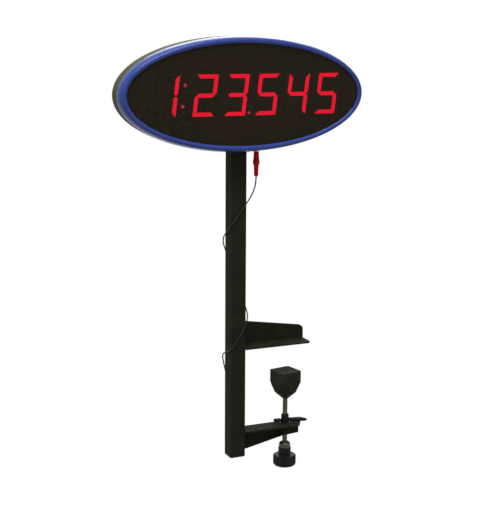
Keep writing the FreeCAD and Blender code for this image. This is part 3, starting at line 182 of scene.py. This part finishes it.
def finish(name, colour, second, rough, patch=60, grain=1800, relief=0.15, depth=0.0001,
           stretch=(1, 1, 1), soft_edge=0.0, wear_and_edge_highlight=None, metallic=0.0, specular=0.5, alpha=1.0,
           glow=None, strength=0.0):
    """A surface whose colour drifts between two tones, with grain in its gloss and relief.

    rough is the least and the most roughness. patch and grain are the number of patches and
    grains in a metre. soft_edge rounds sharp edges in the light, and wear_and_edge_highlight is
    the paler tone along them, partly wear and partly painted highlight. glow and strength are
    the light that a lit surface gives.
    """
    material = bpy.data.materials.new(name)
    material.use_nodes = True
    tree = material.node_tree
    shader = tree.nodes["Principled BSDF"]

    def add(kind, **values):
        made = tree.nodes.new("ShaderNode" + kind)
        for key, value in values.items():
            setattr(made, key, value)
        return made

    place = add("TexCoord")
    mapping = add("Mapping")
    mapping.inputs["Scale"].default_value = stretch
    tree.links.new(place.outputs["Object"], mapping.inputs["Vector"])
    drift = add("TexNoise")
    drift.inputs["Scale"].default_value = patch
    drift.inputs["Detail"].default_value = 4
    tree.links.new(mapping.outputs[0], drift.inputs["Vector"])
    tones = add("ValToRGB")
    tones.color_ramp.elements[0].position = 0.35
    tones.color_ramp.elements[0].color = (*colour, 1)
    tones.color_ramp.elements[1].position = 0.68
    tones.color_ramp.elements[1].color = (*second, 1)
    tree.links.new(drift.outputs[0], tones.inputs[0])
    grains = add("TexNoise")
    grains.inputs["Scale"].default_value = grain
    grains.inputs["Detail"].default_value = 2
    tree.links.new(mapping.outputs[0], grains.inputs["Vector"])
    gloss = add("MapRange")
    gloss.inputs["From Min"].default_value = 0.3
    gloss.inputs["From Max"].default_value = 0.7
    gloss.inputs["To Min"].default_value = rough[0]
    gloss.inputs["To Max"].default_value = rough[1]
    tree.links.new(grains.outputs[0], gloss.inputs["Value"])
    tree.links.new(gloss.outputs[0], shader.inputs["Roughness"])
    bump = add("Bump")
    bump.inputs["Strength"].default_value = relief
    bump.inputs["Distance"].default_value = depth
    tree.links.new(grains.outputs[0], bump.inputs["Height"])
    tree.links.new(bump.outputs[0], shader.inputs["Normal"])
    colours = tones.outputs[0]
    if soft_edge:
        rounded = add("Bevel", samples=6)
        rounded.inputs["Radius"].default_value = soft_edge
        tree.links.new(rounded.outputs[0], bump.inputs["Normal"])
        # A paler tone along sharp edges, broken into patches: partly edge wear and partly a
        # painted highlight.
        if wear_and_edge_highlight:
            flat = add("NewGeometry")
            facing = add("VectorMath", operation="DOT_PRODUCT")
            tree.links.new(rounded.outputs[0], facing.inputs[0])
            tree.links.new(flat.outputs["Normal"], facing.inputs[1])
            edge = add("MapRange")
            edge.inputs["From Min"].default_value = 0.985
            edge.inputs["From Max"].default_value = 0.86
            tree.links.new(facing.outputs["Value"], edge.inputs["Value"])
            patchy = add("Math", operation="MULTIPLY")
            tree.links.new(edge.outputs[0], patchy.inputs[0])
            tree.links.new(drift.outputs[0], patchy.inputs[1])
            wear_and_highlight_tone = add("Mix", data_type="RGBA")
            tree.links.new(patchy.outputs[0], wear_and_highlight_tone.inputs[0])
            tree.links.new(colours, wear_and_highlight_tone.inputs[6])
            wear_and_highlight_tone.inputs[7].default_value = (*wear_and_edge_highlight, 1)
            colours = wear_and_highlight_tone.outputs[2]
    tree.links.new(colours, shader.inputs["Base Color"])
    if glow:
        shader.inputs["Emission Color"].default_value = (*glow, 1)
        shader.inputs["Emission Strength"].default_value = strength
    shader.inputs["Metallic"].default_value = metallic
    shader.inputs["Specular IOR Level"].default_value = specular
    shader.inputs["Alpha"].default_value = alpha
    return material


POWDER_COAT = finish("satin_black_powder_coat", (0.0140, 0.0150, 0.0090),
                     (0.0195, 0.0210, 0.0120), (0.55, 0.7), patch=45, grain=2600, relief=0.35,
                     soft_edge=0.0007, wear_and_edge_highlight=(0.050, 0.054, 0.034), specular=0.02)
CAP_PLASTIC = finish("end_cap_plastic", (0.006, 0.006, 0.006), (0.011, 0.011, 0.0105),
                     (0.45, 0.6), grain=3500, relief=0.3, soft_edge=0.0005, specular=0.1)
KNOB_PLASTIC = finish("knob_plastic", (0.0055, 0.0065, 0.0055), (0.011, 0.0125, 0.0105),
                      (0.3, 0.44), grain=3000, relief=0.25, soft_edge=0.0006,
                      wear_and_edge_highlight=(0.03, 0.03, 0.028), specular=0.08)
# The lever's tones are its own black darkened to about six tenths: painted shade for the shadow of
# the table it is clamped to.
LEVER_METAL_SHADE_DARKENED = finish("black_lever_casting_painted_shade", (0.0055, 0.0060, 0.0045), (0.0095, 0.0102, 0.0080),
                     (0.4, 0.6), patch=160, grain=1500, relief=0.5, depth=0.0002,
                     soft_edge=0.0009, wear_and_edge_highlight=(0.03, 0.032, 0.025), specular=0.06)
ZINC = finish("dull_zinc_plate", (0.048, 0.049, 0.032), (0.092, 0.094, 0.066), (0.3, 0.5),
              patch=220, grain=2200, relief=0.3, metallic=0.9, specular=0.4)
PAD_PLASTIC = finish("pad_moulding", (0.014, 0.0148, 0.0095), (0.022, 0.0235, 0.0145),
                     (0.45, 0.65), patch=90, grain=2400, relief=0.3, soft_edge=0.0006,
                     wear_and_edge_highlight=(0.035, 0.038, 0.026), specular=0.04)
PAD_RUBBER = finish("pad_rubber", (0.012, 0.012, 0.0115), (0.022, 0.022, 0.02), (0.7, 0.9),
                    patch=200, grain=1300, relief=0.6, depth=0.0002, specular=0.08)
BLUE = finish("blue_moulding", (0.015, 0.036, 0.200), (0.019, 0.043, 0.225), (0.17, 0.23),
              patch=25, grain=2800, relief=0.04, specular=0.21)
SHELL_GREY = finish("grey_silver_moulding", (0.064, 0.063, 0.035), (0.071, 0.070, 0.039),
                    (0.6, 0.75), patch=70, grain=2600, relief=0.2, soft_edge=0.0005,
                    specular=0.05)
WINDOW = finish("smoked_window", (0.0260, 0.0195, 0.0120), (0.0280, 0.0210, 0.0130),
                (0.2, 0.24), patch=6, grain=30, relief=0.01, specular=0.03, alpha=0.38)
CHASSIS = finish("brown_black_plate", (0.029, 0.0215, 0.0135), (0.032, 0.0235, 0.0150),
                 (0.7, 0.85), grain=900, relief=0.1, specular=0.05)
MODULE = finish("green_black_module_face", (0.0240, 0.0245, 0.0160), (0.0265, 0.0265, 0.0175),
                (0.6, 0.8), grain=900, relief=0.1, specular=0.05)
LIT = finish("lit_red_segment", (0.55, 0.0005, 0.012), (0.6, 0.0008, 0.016), (0.35, 0.5),
             patch=300, grain=1500, relief=0.1, glow=(1.0, 0.0, 0.034), strength=1.8,
             specular=0.05)
DIM_LIT = finish("lit_red_dot", (0.45, 0.006, 0.05), (0.5, 0.008, 0.06), (0.35, 0.5),
                 patch=300, grain=1500, relief=0.1, glow=(1.0, 0.03, 0.14), strength=0.95,
                 specular=0.05)
BOARD = finish("green_circuit_board", (0.008, 0.07, 0.022), (0.014, 0.10, 0.035), (0.3, 0.45),
               patch=500, grain=3000, relief=0.4)
BRASS = finish("turned_brass", (0.42, 0.27, 0.09), (0.56, 0.38, 0.14), (0.25, 0.4),
               patch=400, grain=3500, stretch=(1, 1, 6), metallic=1.0)
RIBBON = finish("grey_ribbon", (0.24, 0.24, 0.23), (0.33, 0.33, 0.32), (0.5, 0.6),
                patch=90, grain=800, stretch=(1, 0.02, 1), relief=0.8, depth=0.0003)
NICKEL = finish("nickel_plate", (0.52, 0.50, 0.46), (0.62, 0.60, 0.55), (0.15, 0.28),
                patch=300, grain=3500, metallic=1.0)
PLUG_RED = finish("red_plug_moulding", (0.48, 0.0012, 0.003), (0.60, 0.0016, 0.004),
                  (0.26, 0.4), patch=140, grain=3200, relief=0.12, specular=0.06)
SHEATH = finish("black_cord_sheath", (0.008, 0.009, 0.0065), (0.014, 0.015, 0.011),
                (0.4, 0.55), patch=300, grain=2600, relief=0.3, specular=0.2)
TIE = finish("black_tie_tape", (0.012, 0.012, 0.012), (0.03, 0.03, 0.028), (0.8, 0.95),
             patch=900, grain=2400, relief=1.0, depth=0.0003, specular=0.1)


def coat_nodes():
    """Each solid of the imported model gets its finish."""
    finishes = {
        POWDER_COAT: ["post", "upper_jaw", "lower_arm", "arm_boss"],
        CAP_PLASTIC: ["post_foot_cap", "post_top_cap", "post_socket", "switch_frame",
                      "switch_rocker", "button_housing", "push_button", "power_jack", "buzzer",
                      "cord_hook", "data_jack"],
        KNOB_PLASTIC: ["clamp_knob"],
        LEVER_METAL_SHADE_DARKENED: ["lock_lever"],
        ZINC: ["clamp_screw", "dome_collar", "lock_washer", "housing_screws"],
        PAD_PLASTIC: ["pad_shoe"],
        PAD_RUBBER: ["pad_face"],
        BLUE: ["bezel"],
        SHELL_GREY: ["rear_shell"],
        WINDOW: ["window"],
        CHASSIS: ["chassis"],
        MODULE: [f"digit_module_{index}" for index in range(1, 7)],
        LIT: [f"digit_{index}_lit" for index in range(1, 7)],
        DIM_LIT: ["lit_dots"],
        BOARD: ["display_board", "control_board"],
        BRASS: ["board_pillars", "control_spacers"],
        RIBBON: ["ribbon_cable"],
        NICKEL: ["jack_nut", "power_pin", "data_plug_pin", "far_plug_pin"],
        PLUG_RED: ["data_plug_barrel", "data_plug_grip", "data_plug_boot", "far_plug_barrel"],
        SHEATH: ["data_cord", "cord_coil", "cord_tail"],
    }
    for material, members in finishes.items():
        for name in members:
            mesh = nodes[name].data
            mesh.materials.clear()
            mesh.materials.append(material)
    bare = set(nodes) - {name for members in finishes.values() for name in members}
    if bare:
        raise RuntimeError(f"no finish for {sorted(bare)}")


# ---- the data lead ------------------------------------------------------------------------------

LEAD_RADIUS = 1.0 * MM
COIL_STRANDS = 8
COIL_SHORT_OF = 0.62
COIL_POINTS = 16
COIL_RING = 12.35
COIL_BUNDLE = 2.62
COIL_START = math.radians(175)
STRAND_START = math.radians(200)


def lead_route():
    """The lead's points from the post's middle, in millimetres, before its coil and after it."""
    down_the_post = [
        (32.0, -4.0, 270.5),
        (31.6, -4.2, 262.5),
        (28.0, -7.6, 253.5),
        (21.8, -12.6, 245.5),
        (15.4, -15.8, 237.5),
        (1.5, -15.0, 220.0),
        (-15.6, -15.8, 196.0),
        (-15.2, 0.5, 187.5),
        (-16.0, 15.8, 172.0),
        (-8.0, 18.6, 152.0),
        (2.5, 17.6, 128.0),
        (10.5, 18.2, 102.0),
        (17.0, 15.6, 82.0),
        (17.4, 0.0, 66.0),
        (15.8, -15.8, 50.0),
        (0.0, -15.2, 21.0),
        (-15.6, -15.8, 2.0),
        (-15.6, 0.0, -3.0),
        (-15.8, 14.6, -11.0),
        (-12.5, 18.0, -24.0),
        (-8.2, 18.4, -41.0),
    ]
    to_the_far_plug = [
        (17.6, 18.4, -80.6),
        (19.6, 18.8, -83.6),
        (18.8, 19.6, -88.4),
        (15.2, 20.2, -92.6),
        (12.4, 20.4, -97.6),
        (12.0, 20.4, -104.0),
    ]
    return down_the_post, to_the_far_plug


def coil_points():
    """Turns that lie round each other like the strands of a ring, a diameter apart."""
    centre = middle("cord_coil") / MM - Vector((POST.x / MM, 0, 0))
    wound = FULL_TURN * (COIL_STRANDS - COIL_SHORT_OF)
    count = round(wound / FULL_TURN * COIL_POINTS)
    points = []
    for step in range(count + 1):
        turned_by = wound * step / count
        angle = COIL_START + turned_by
        strand = STRAND_START + turned_by / COIL_STRANDS
        reach = COIL_RING + COIL_BUNDLE * math.cos(strand)
        points.append((centre.x + reach * math.cos(angle),
                       centre.y + COIL_BUNDLE * math.sin(strand),
                       centre.z + reach * math.sin(angle)))
    return points


def data_lead():
    """The data lead as one cord, from its plug round the post to the coil and the far plug."""
    before, after = lead_route()
    points = before + coil_points() + after
    curve = bpy.data.curves.new("data_lead", "CURVE")
    curve.dimensions = "3D"
    curve.resolution_u = 6
    curve.bevel_depth = LEAD_RADIUS
    curve.bevel_resolution = 3
    curve.use_fill_caps = True
    spline = curve.splines.new("NURBS")
    spline.points.add(len(points) - 1)
    for point, (x, y, z) in zip(spline.points, points):
        point.co = (POST.x + x * MM, y * MM, z * MM, 1)
    spline.order_u = 3
    spline.use_endpoint_u = True
    curve.materials.append(SHEATH)
    lead = bpy.data.objects.new("data_lead", curve)
    bpy.context.scene.collection.objects.link(lead)
    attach(lead, "stand")
    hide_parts("data_cord", "cord_coil", "cord_tail")
    plug_moulding()
    coil_tie()


# ---- modelled pieces ----------------------------------------------------------------------------


def closed_piece(name, mesh, material, slot, body, *replaced):
    """A new piece from a bmesh: its faces outward, its finish and what carries it. The slot is not
    used.
    """
    bmesh.ops.recalc_face_normals(mesh, faces=mesh.faces)
    data = bpy.data.meshes.new(name)
    mesh.to_mesh(data)
    mesh.free()
    data.shade_smooth()
    data.materials.append(material)
    piece = bpy.data.objects.new(name, data)
    bpy.context.scene.collection.objects.link(piece)
    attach(piece, body)
    if replaced:
        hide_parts(*replaced)
    return piece


def walls(mesh, low, high):
    """Quads between two loops of corners. The edges of the second loop are handed back."""
    edges = []
    for index in range(len(low)):
        after = (index + 1) % len(low)
        mesh.faces.new((low[index], low[after], high[after], high[index]))
        edges.append(mesh.edges.get((high[index], high[after])))
    return edges


def skin(mesh, rings, closed_along=False):
    """Quads between rings of points; the end rings are capped unless the last meets the first."""
    rows = [[mesh.verts.new(point) for point in ring] for ring in rings]
    pairs = list(zip(rows, rows[1:]))
    if closed_along:
        pairs.append((rows[-1], rows[0]))
    else:
        mesh.faces.new(rows[0])
        mesh.faces.new(rows[-1])
    for low, high in pairs:
        walls(mesh, low, high)


def round_section(centre, radius, height, sides):
    """A level ring of points about a vertical axis."""
    return [(centre.x + radius * math.cos(FULL_TURN * side / sides),
             centre.y + radius * math.sin(FULL_TURN * side / sides), height)
            for side in range(sides)]


# The bezel's section, as pairs of inset from the oval's outer edge and distance back from its
# front. The skirt's are millimetres and shares of the bezel's depth, the rest are millimetres.
BEZEL_REAR_INSET = 0.25
BEZEL_SKIRT = [(0, 0.975), (0.5, 0.75), (1.15, 0.5), (1.85, 0.33), (2.6, 0.205)]
BEZEL_BEAD = [(2.8, 3.6), (3.0, 3.5), (3.05, 2.5), (3.25, 1.9), (3.65, 1.35), (4.2, 0.85),
              (4.85, 0.45), (5.55, 0.17), (6.3, 0.03), (7.1, 0.0), (8.0, 0.15), (8.9, 0.5)]
BEZEL_LIP = [(0.9, 0.95), (0.25, 1.4)]
WINDOW_LAND = 2.0 * MM
LAND_GAP = 0.1 * MM
BEZEL_WALL = 3.0 * MM
BEZEL_STEPS = 240
BEZEL_SHARP = math.radians(38)


def bezel_front():
    """The oval front moulding: a bead round the window, a groove, and a tapering skirt."""
    low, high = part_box("bezel")
    window_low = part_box("window")[0]
    ring = window_low.x + WINDOW_LAND - low.x
    depth = high.y - low.y
    inner = window_low.y - low.y
    land = ring - WINDOW_LAND + LAND_GAP
    section = [(BEZEL_REAR_INSET * MM, depth)]
    section += [(inset * MM, back * depth) for inset, back in BEZEL_SKIRT]
    section += [(inset * MM, back * MM) for inset, back in BEZEL_BEAD]
    section += [(ring - short * MM, back * MM) for short, back in BEZEL_LIP]
    section += [(ring, inner), (land, inner), (land, 2 * inner), (BEZEL_WALL, 2 * inner),
                (BEZEL_WALL, depth)]
    mesh = bmesh.new()
    rings = []
    for step in range(BEZEL_STEPS):
        angle = FULL_TURN * step / BEZEL_STEPS
        rings.append([(HEAD.x + (high.x - HEAD.x - inset) * math.cos(angle), low.y + back,
                       HEAD.z + (high.z - HEAD.z - inset) * math.sin(angle))
                      for inset, back in section])
    skin(mesh, rings, closed_along=True)
    piece = closed_piece("bezel_front", mesh, BLUE, "blue_moulding", "head", "bezel")
    piece.data.set_sharp_from_angle(angle=BEZEL_SHARP)


PLUG_SIDES = 32


def plug_moulding():
    """The jack plug's body: a barrel that swells to the grip, a sleeve and a rounded foot."""
    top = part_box("data_plug_barrel")[1].z
    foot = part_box("data_plug_boot")[0].z
    grip_low, grip_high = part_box("data_plug_grip")
    peak = 0.8 * grip_high.z + 0.2 * grip_low.z
    sleeve = grip_low.z + 1.5 * MM
    profile = [(top, 0, 3.3), (top, -0.5, 3.8), (top, -4, 4.0), (top, -9, 4.25),
               (peak, 3, 4.8), (peak, 1, 5.3), (peak, 0, 5.35), (peak, -1.5, 5.1),
               (peak, -4, 4.2), (sleeve, 0, 3.65), (sleeve, -1, 3.5), (foot, 4.5, 3.35),
               (foot, 2.8, 3.2), (foot, 1, 2.3), (foot, 0, 1.5)]
    mesh = bmesh.new()
    skin(mesh, [round_section(middle("data_plug_boot"), radius * MM, level + rise * MM,
                              PLUG_SIDES)
                for level, rise, radius in profile])
    return closed_piece("plug_moulding", mesh, PLUG_RED, "plug_red", "stand",
                        "data_plug_barrel", "data_plug_grip", "data_plug_boot")


THREAD_PITCH = 1.25 * MM
THREAD_DEPTH = 0.5 * MM
THREAD_END_TAPER = 0.6 * MM
THREAD_END_LENGTH = 1.2 * MM
THREAD_SIDES = 24
LEVELS_IN_A_PITCH = 5


def clamp_thread():
    """The clamp screw with its thread, a ridge that climbs by one pitch in each turn."""
    low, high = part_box("clamp_screw")
    radius = (high.x - low.x) / 2
    sides = THREAD_SIDES
    levels = round((high.z - low.z) / THREAD_PITCH * LEVELS_IN_A_PITCH)
    mesh = bmesh.new()
    rings = []
    for level in range(levels + 1):
        height = low.z + (high.z - low.z) * level / levels
        near_end = min(height - low.z, high.z - height)
        taper = THREAD_END_TAPER * (1 - min(1.0, near_end / THREAD_END_LENGTH))
        ring = []
        for side in range(sides):
            phase = (height / THREAD_PITCH - side / sides) % 1.0
            crest = 1 - abs(2 * phase - 1)
            reach = radius - THREAD_DEPTH * (1 - crest) - taper
            angle = FULL_TURN * side / sides
            ring.append((SCREW.x + reach * math.cos(angle), SCREW.y + reach * math.sin(angle),
                         height))
        rings.append(ring)
    skin(mesh, rings)
    closed_piece("clamp_thread", mesh, ZINC, "zinc_plate", "screw", "clamp_screw")


def copies_tree(name, material):
    """A tree that sets a form on every point, each a little smaller at random, as one mesh."""
    tree = bpy.data.node_groups.new(name, "GeometryNodeTree")

    def socket(label, kind, way="INPUT"):
        return tree.interface.new_socket(label, in_out=way, socket_type="NodeSocket" + kind)

    socket("Geometry", "Geometry")
    form = socket("Form", "Object")
    spread = socket("Size spread", "Float")
    socket("Geometry", "Geometry", "OUTPUT")
    start = tree.nodes.new("NodeGroupInput")
    end = tree.nodes.new("NodeGroupOutput")
    info = tree.nodes.new("GeometryNodeObjectInfo")
    copies = tree.nodes.new("GeometryNodeInstanceOnPoints")
    sizes = tree.nodes.new("FunctionNodeRandomValue")
    sizes.inputs["Seed"].default_value = 7
    sizes.inputs[3].default_value = 1.0
    smallest = tree.nodes.new("ShaderNodeMath")
    smallest.operation = "SUBTRACT"
    smallest.inputs[0].default_value = 1.0
    whole = tree.nodes.new("GeometryNodeRealizeInstances")
    finished = tree.nodes.new("GeometryNodeSetMaterial")
    finished.inputs["Material"].default_value = material
    tree.links.new(start.outputs[0], copies.inputs["Points"])
    tree.links.new(start.outputs[1], info.inputs["Object"])
    tree.links.new(info.outputs["Geometry"], copies.inputs["Instance"])
    tree.links.new(start.outputs[2], smallest.inputs[1])
    tree.links.new(smallest.outputs[0], sizes.inputs[2])
    tree.links.new(sizes.outputs[1], copies.inputs["Scale"])
    tree.links.new(copies.outputs[0], whole.inputs[0])
    tree.links.new(whole.outputs[0], finished.inputs[0])
    tree.links.new(finished.outputs[0], end.inputs[0])
    return tree, form.identifier, spread.identifier


def copied_form(name, form_mesh, places, size_spread, material):
    """Copies of one small form at each of the places, joined by Geometry Nodes into a mesh."""
    points = bpy.data.meshes.new(name + "_points")
    points.from_pydata(places, [], [])
    form_data = bpy.data.meshes.new(name + "_form")
    form_mesh.to_mesh(form_data)
    form_mesh.free()
    form = bpy.data.objects.new(name + "_form", form_data)
    holder = bpy.data.objects.new(name + "_holder", points)
    for made in (form, holder):
        bpy.context.scene.collection.objects.link(made)
    tree, form_input, spread_input = copies_tree(name + "_copies", material)
    modifier = holder.modifiers.new("copies", "NODES")
    modifier.node_group = tree
    modifier[form_input] = form
    modifier[spread_input] = size_spread
    bpy.context.view_layer.update()
    ready = holder.evaluated_get(bpy.context.evaluated_depsgraph_get())
    data = bpy.data.meshes.new_from_object(ready)
    bpy.data.objects.remove(holder)
    bpy.data.objects.remove(form)
    data.name = name
    data.materials.clear()
    data.materials.append(material)
    piece = bpy.data.objects.new(name, data)
    bpy.context.scene.collection.objects.link(piece)
    return piece


# The lever nut. The blade's stations are its place along the blade from the screw in metres,
# then half its width, its thickness and its drop below the root in millimetres.
LEVER_TURN = math.radians(-8)
LEVER_BORE = 4.15 * MM
LEVER_HUB = 6.9 * MM
LEVER_FLARE = 5 * MM
LEVER_CROWN = 7.6 * MM
LEVER_SIDES = 36
LEVER_SHARP = math.radians(50)
BLADE_SIDES = 16
BLADE_SQUARENESS = 0.55


def rounded_bar(stations, top):
    """A bar along the lever from its stations, with a section between an oval and a box."""
    along_lever = Vector((math.cos(LEVER_TURN), math.sin(LEVER_TURN), 0))
    across_lever = Vector((-math.sin(LEVER_TURN), math.cos(LEVER_TURN), 0))
    foot = Vector((SCREW.x, SCREW.y, top))
    rings = []
    for along, half, thick, drop in stations:
        middle_line = foot + along * along_lever - Vector((0, 0, (drop + thick / 2) * MM))
        ring = []
        for side in range(BLADE_SIDES):
            angle = FULL_TURN * side / BLADE_SIDES
            wide, tall = (math.copysign(abs(part) ** BLADE_SQUARENESS, part)
                          for part in (math.cos(angle), math.sin(angle)))
            ring.append(middle_line + half * MM * wide * across_lever
                        + Vector((0, 0, thick / 2 * MM * tall)))
        rings.append(ring)
    return rings


def lock_lever():
    """The cast lever nut: a hub that flares to its foot, and a blade with rounded edges."""
    low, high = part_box("lock_lever")
    root_top = high.z - LEVER_CROWN
    reach = (high.x - SCREW.x) / math.cos(LEVER_TURN) - 0.2 * MM
    tail = (SCREW.x - low.x) / math.cos(LEVER_TURN) - 0.4 * MM
    profile = [(LEVER_BORE, low.z), (LEVER_HUB, low.z), (LEVER_HUB, low.z + LEVER_FLARE),
               (0.97 * LEVER_HUB, root_top), (0.9 * LEVER_HUB, root_top + 1.6 * MM),
               (0.87 * LEVER_HUB, high.z - 1.2 * MM), (0.8 * LEVER_HUB, high.z - 0.3 * MM),
               (0.72 * LEVER_HUB, high.z), (LEVER_BORE, high.z)]
    mesh = bmesh.new()
    skin(mesh, [round_section(SCREW, radius, height, LEVER_SIDES) for radius, height in profile],
         closed_along=True)
    skin(mesh, rounded_bar([
        (-tail, 2.4, 3.6, 0.3), (-tail + 1.0 * MM, 3.4, 4.8, 0.0), (-0.6 * tail, 4.1, 5.2, 0.0),
        (-0.45 * tail, 4.4, 5.2, 0.0),
    ], root_top))
    skin(mesh, rounded_bar([
        (6.2 * MM, 4.1, 5.2, 0.0), (9 * MM, 4.0, 5.1, 0.05), (14 * MM, 4.4, 5.1, 0.3),
        (20 * MM, 5.2, 5.1, 0.65), (26 * MM, 5.9, 5.0, 1.1), (30 * MM, 5.2, 4.7, 1.7),
        (reach - 3.6 * MM, 3.6, 4.0, 2.7), (reach - 1.0 * MM, 2.1, 3.1, 3.6),
        (reach, 1.0, 2.0, 4.3),
    ], root_top))
    piece = closed_piece("lever_casting", mesh, LEVER_METAL_SHADE_DARKENED, "lever_casting", "lock_lever",
                         "lock_lever")
    piece.data.set_sharp_from_angle(angle=LEVER_SHARP)


RIPPLE_RADIUS = 1.5 * MM
RIPPLE_PITCH = 1.1 * MM
RIPPLE_SPREAD = 0.22
WELD_INSET = 1.8 * MM
JAW_PLATE = 3.0 * MM


def weld_beads():
    """Short overlapping ripples of weld where the jaws' flanges meet the post."""
    ripple = bmesh.new()
    bmesh.ops.create_icosphere(ripple, subdivisions=2, radius=RIPPLE_RADIUS)
    bmesh.ops.scale(ripple, vec=(1.0, 0.75, 0.8), verts=ripple.verts)
    bmesh.ops.rotate(ripple, cent=(0, 0, 0), matrix=Matrix.Rotation(math.radians(20), 3, "X"),
                     verts=ripple.verts)
    for face in ripple.faces:
        face.smooth = True
    post_low, post_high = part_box("post")
    count = int((post_high.y - post_low.y - 2 * WELD_INSET) / RIPPLE_PITCH)
    flange_tops = [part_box("upper_jaw")[0].z + JAW_PLATE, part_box("lower_arm")[1].z]
    places = [(post_high.x + 0.3 * MM, post_low.y + WELD_INSET + RIPPLE_PITCH * step,
               height + 0.2 * MM)
              for height in flange_tops for step in range(count + 1)]
    beads = copied_form("weld_beads", ripple, places, RIPPLE_SPREAD, POWDER_COAT)
    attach(beads, "stand")


def recessed_head(radius, height):
    """A round screw head that faces +Y, domed, with a cross recess in it."""
    mesh = bmesh.new()
    sides = 32
    arm, half = 0.62 * radius, 0.13 * radius
    rows = []
    for share, back in ((0.999, -1.0), (1.0, -0.45), (0.94, -0.18), (0.82, -0.04)):
        reach = radius * share
        rows.append([mesh.verts.new((reach * math.cos(FULL_TURN * side / sides), height * back,
                                     reach * math.sin(FULL_TURN * side / sides)))
                     for side in range(sides)])
    mesh.faces.new(rows[0])
    for low, high in zip(rows, rows[1:]):
        rim = walls(mesh, low, high)
    cross = []
    for quarter in range(4):
        for x, z in ((arm, half), (half, half), (half, arm)):
            for _ in range(quarter):
                x, z = -z, x
            cross.append((x, z))
    mouth = [mesh.verts.new((x, 0, z)) for x, z in cross]
    bottom = [mesh.verts.new((0.7 * x, -0.6 * height, 0.7 * z)) for x, z in cross]
    mesh.faces.new(bottom)
    rim += walls(mesh, bottom, mouth)
    bmesh.ops.triangle_fill(mesh, use_beauty=True, use_dissolve=False, edges=rim)
    bmesh.ops.recalc_face_normals(mesh, faces=mesh.faces)
    return mesh


HOUSING_SCREW_RADIUS = 3.0 * MM
HOUSING_SCREW_HEIGHT = 2.0 * MM


def housing_screw_heads():
    """The six cross-head screws in the back of the head."""
    low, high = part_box("housing_screws")
    reach_x = (high.x - low.x) / 2 - HOUSING_SCREW_RADIUS
    reach_z = ((high.z - low.z) / 2 - HOUSING_SCREW_RADIUS) / math.sin(math.radians(60))
    places = [(HEAD.x + reach_x * math.cos(math.radians(turn)), high.y,
               HEAD.z + reach_z * math.sin(math.radians(turn))) for turn in range(0, 360, 60)]
    head = recessed_head(HOUSING_SCREW_RADIUS, HOUSING_SCREW_HEIGHT)
    heads = copied_form("housing_screw_heads", head, places, 0.0, ZINC)
    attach(heads, "head")
    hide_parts("housing_screws")


TIE_INSIDE = 4.35
TIE_HALF_WIDTH = 3.0
TIE_STEPS = 40


def coil_tie():
    """The tape that holds the coil's strands together at its foot."""
    centre = middle("cord_coil")
    inside, half = TIE_INSIDE, TIE_HALF_WIDTH
    section = [(inside, -half), (inside + 0.35, -half - 0.1), (inside + 0.55, -0.5 * half),
               (inside + 0.55, 0.5 * half), (inside + 0.35, half + 0.1), (inside, half)]
    mesh = bmesh.new()
    rings = []
    for step in range(TIE_STEPS):
        angle = FULL_TURN * step / TIE_STEPS
        rings.append([(centre.x + along * MM, centre.y + reach * MM * math.cos(angle),
                       centre.z - COIL_RING * MM + reach * MM * math.sin(angle))
                      for reach, along in section])
    skin(mesh, rings, closed_along=True)
    return closed_piece("coil_tie", mesh, TIE, "cord_black", "stand")


bpy.context.scene.view_settings.view_transform = "Standard"
viewpoint()
coat_nodes()
data_lead()
bezel_front()
clamp_thread()
lock_lever()
weld_beads()
housing_screw_heads()
studio()
floor()
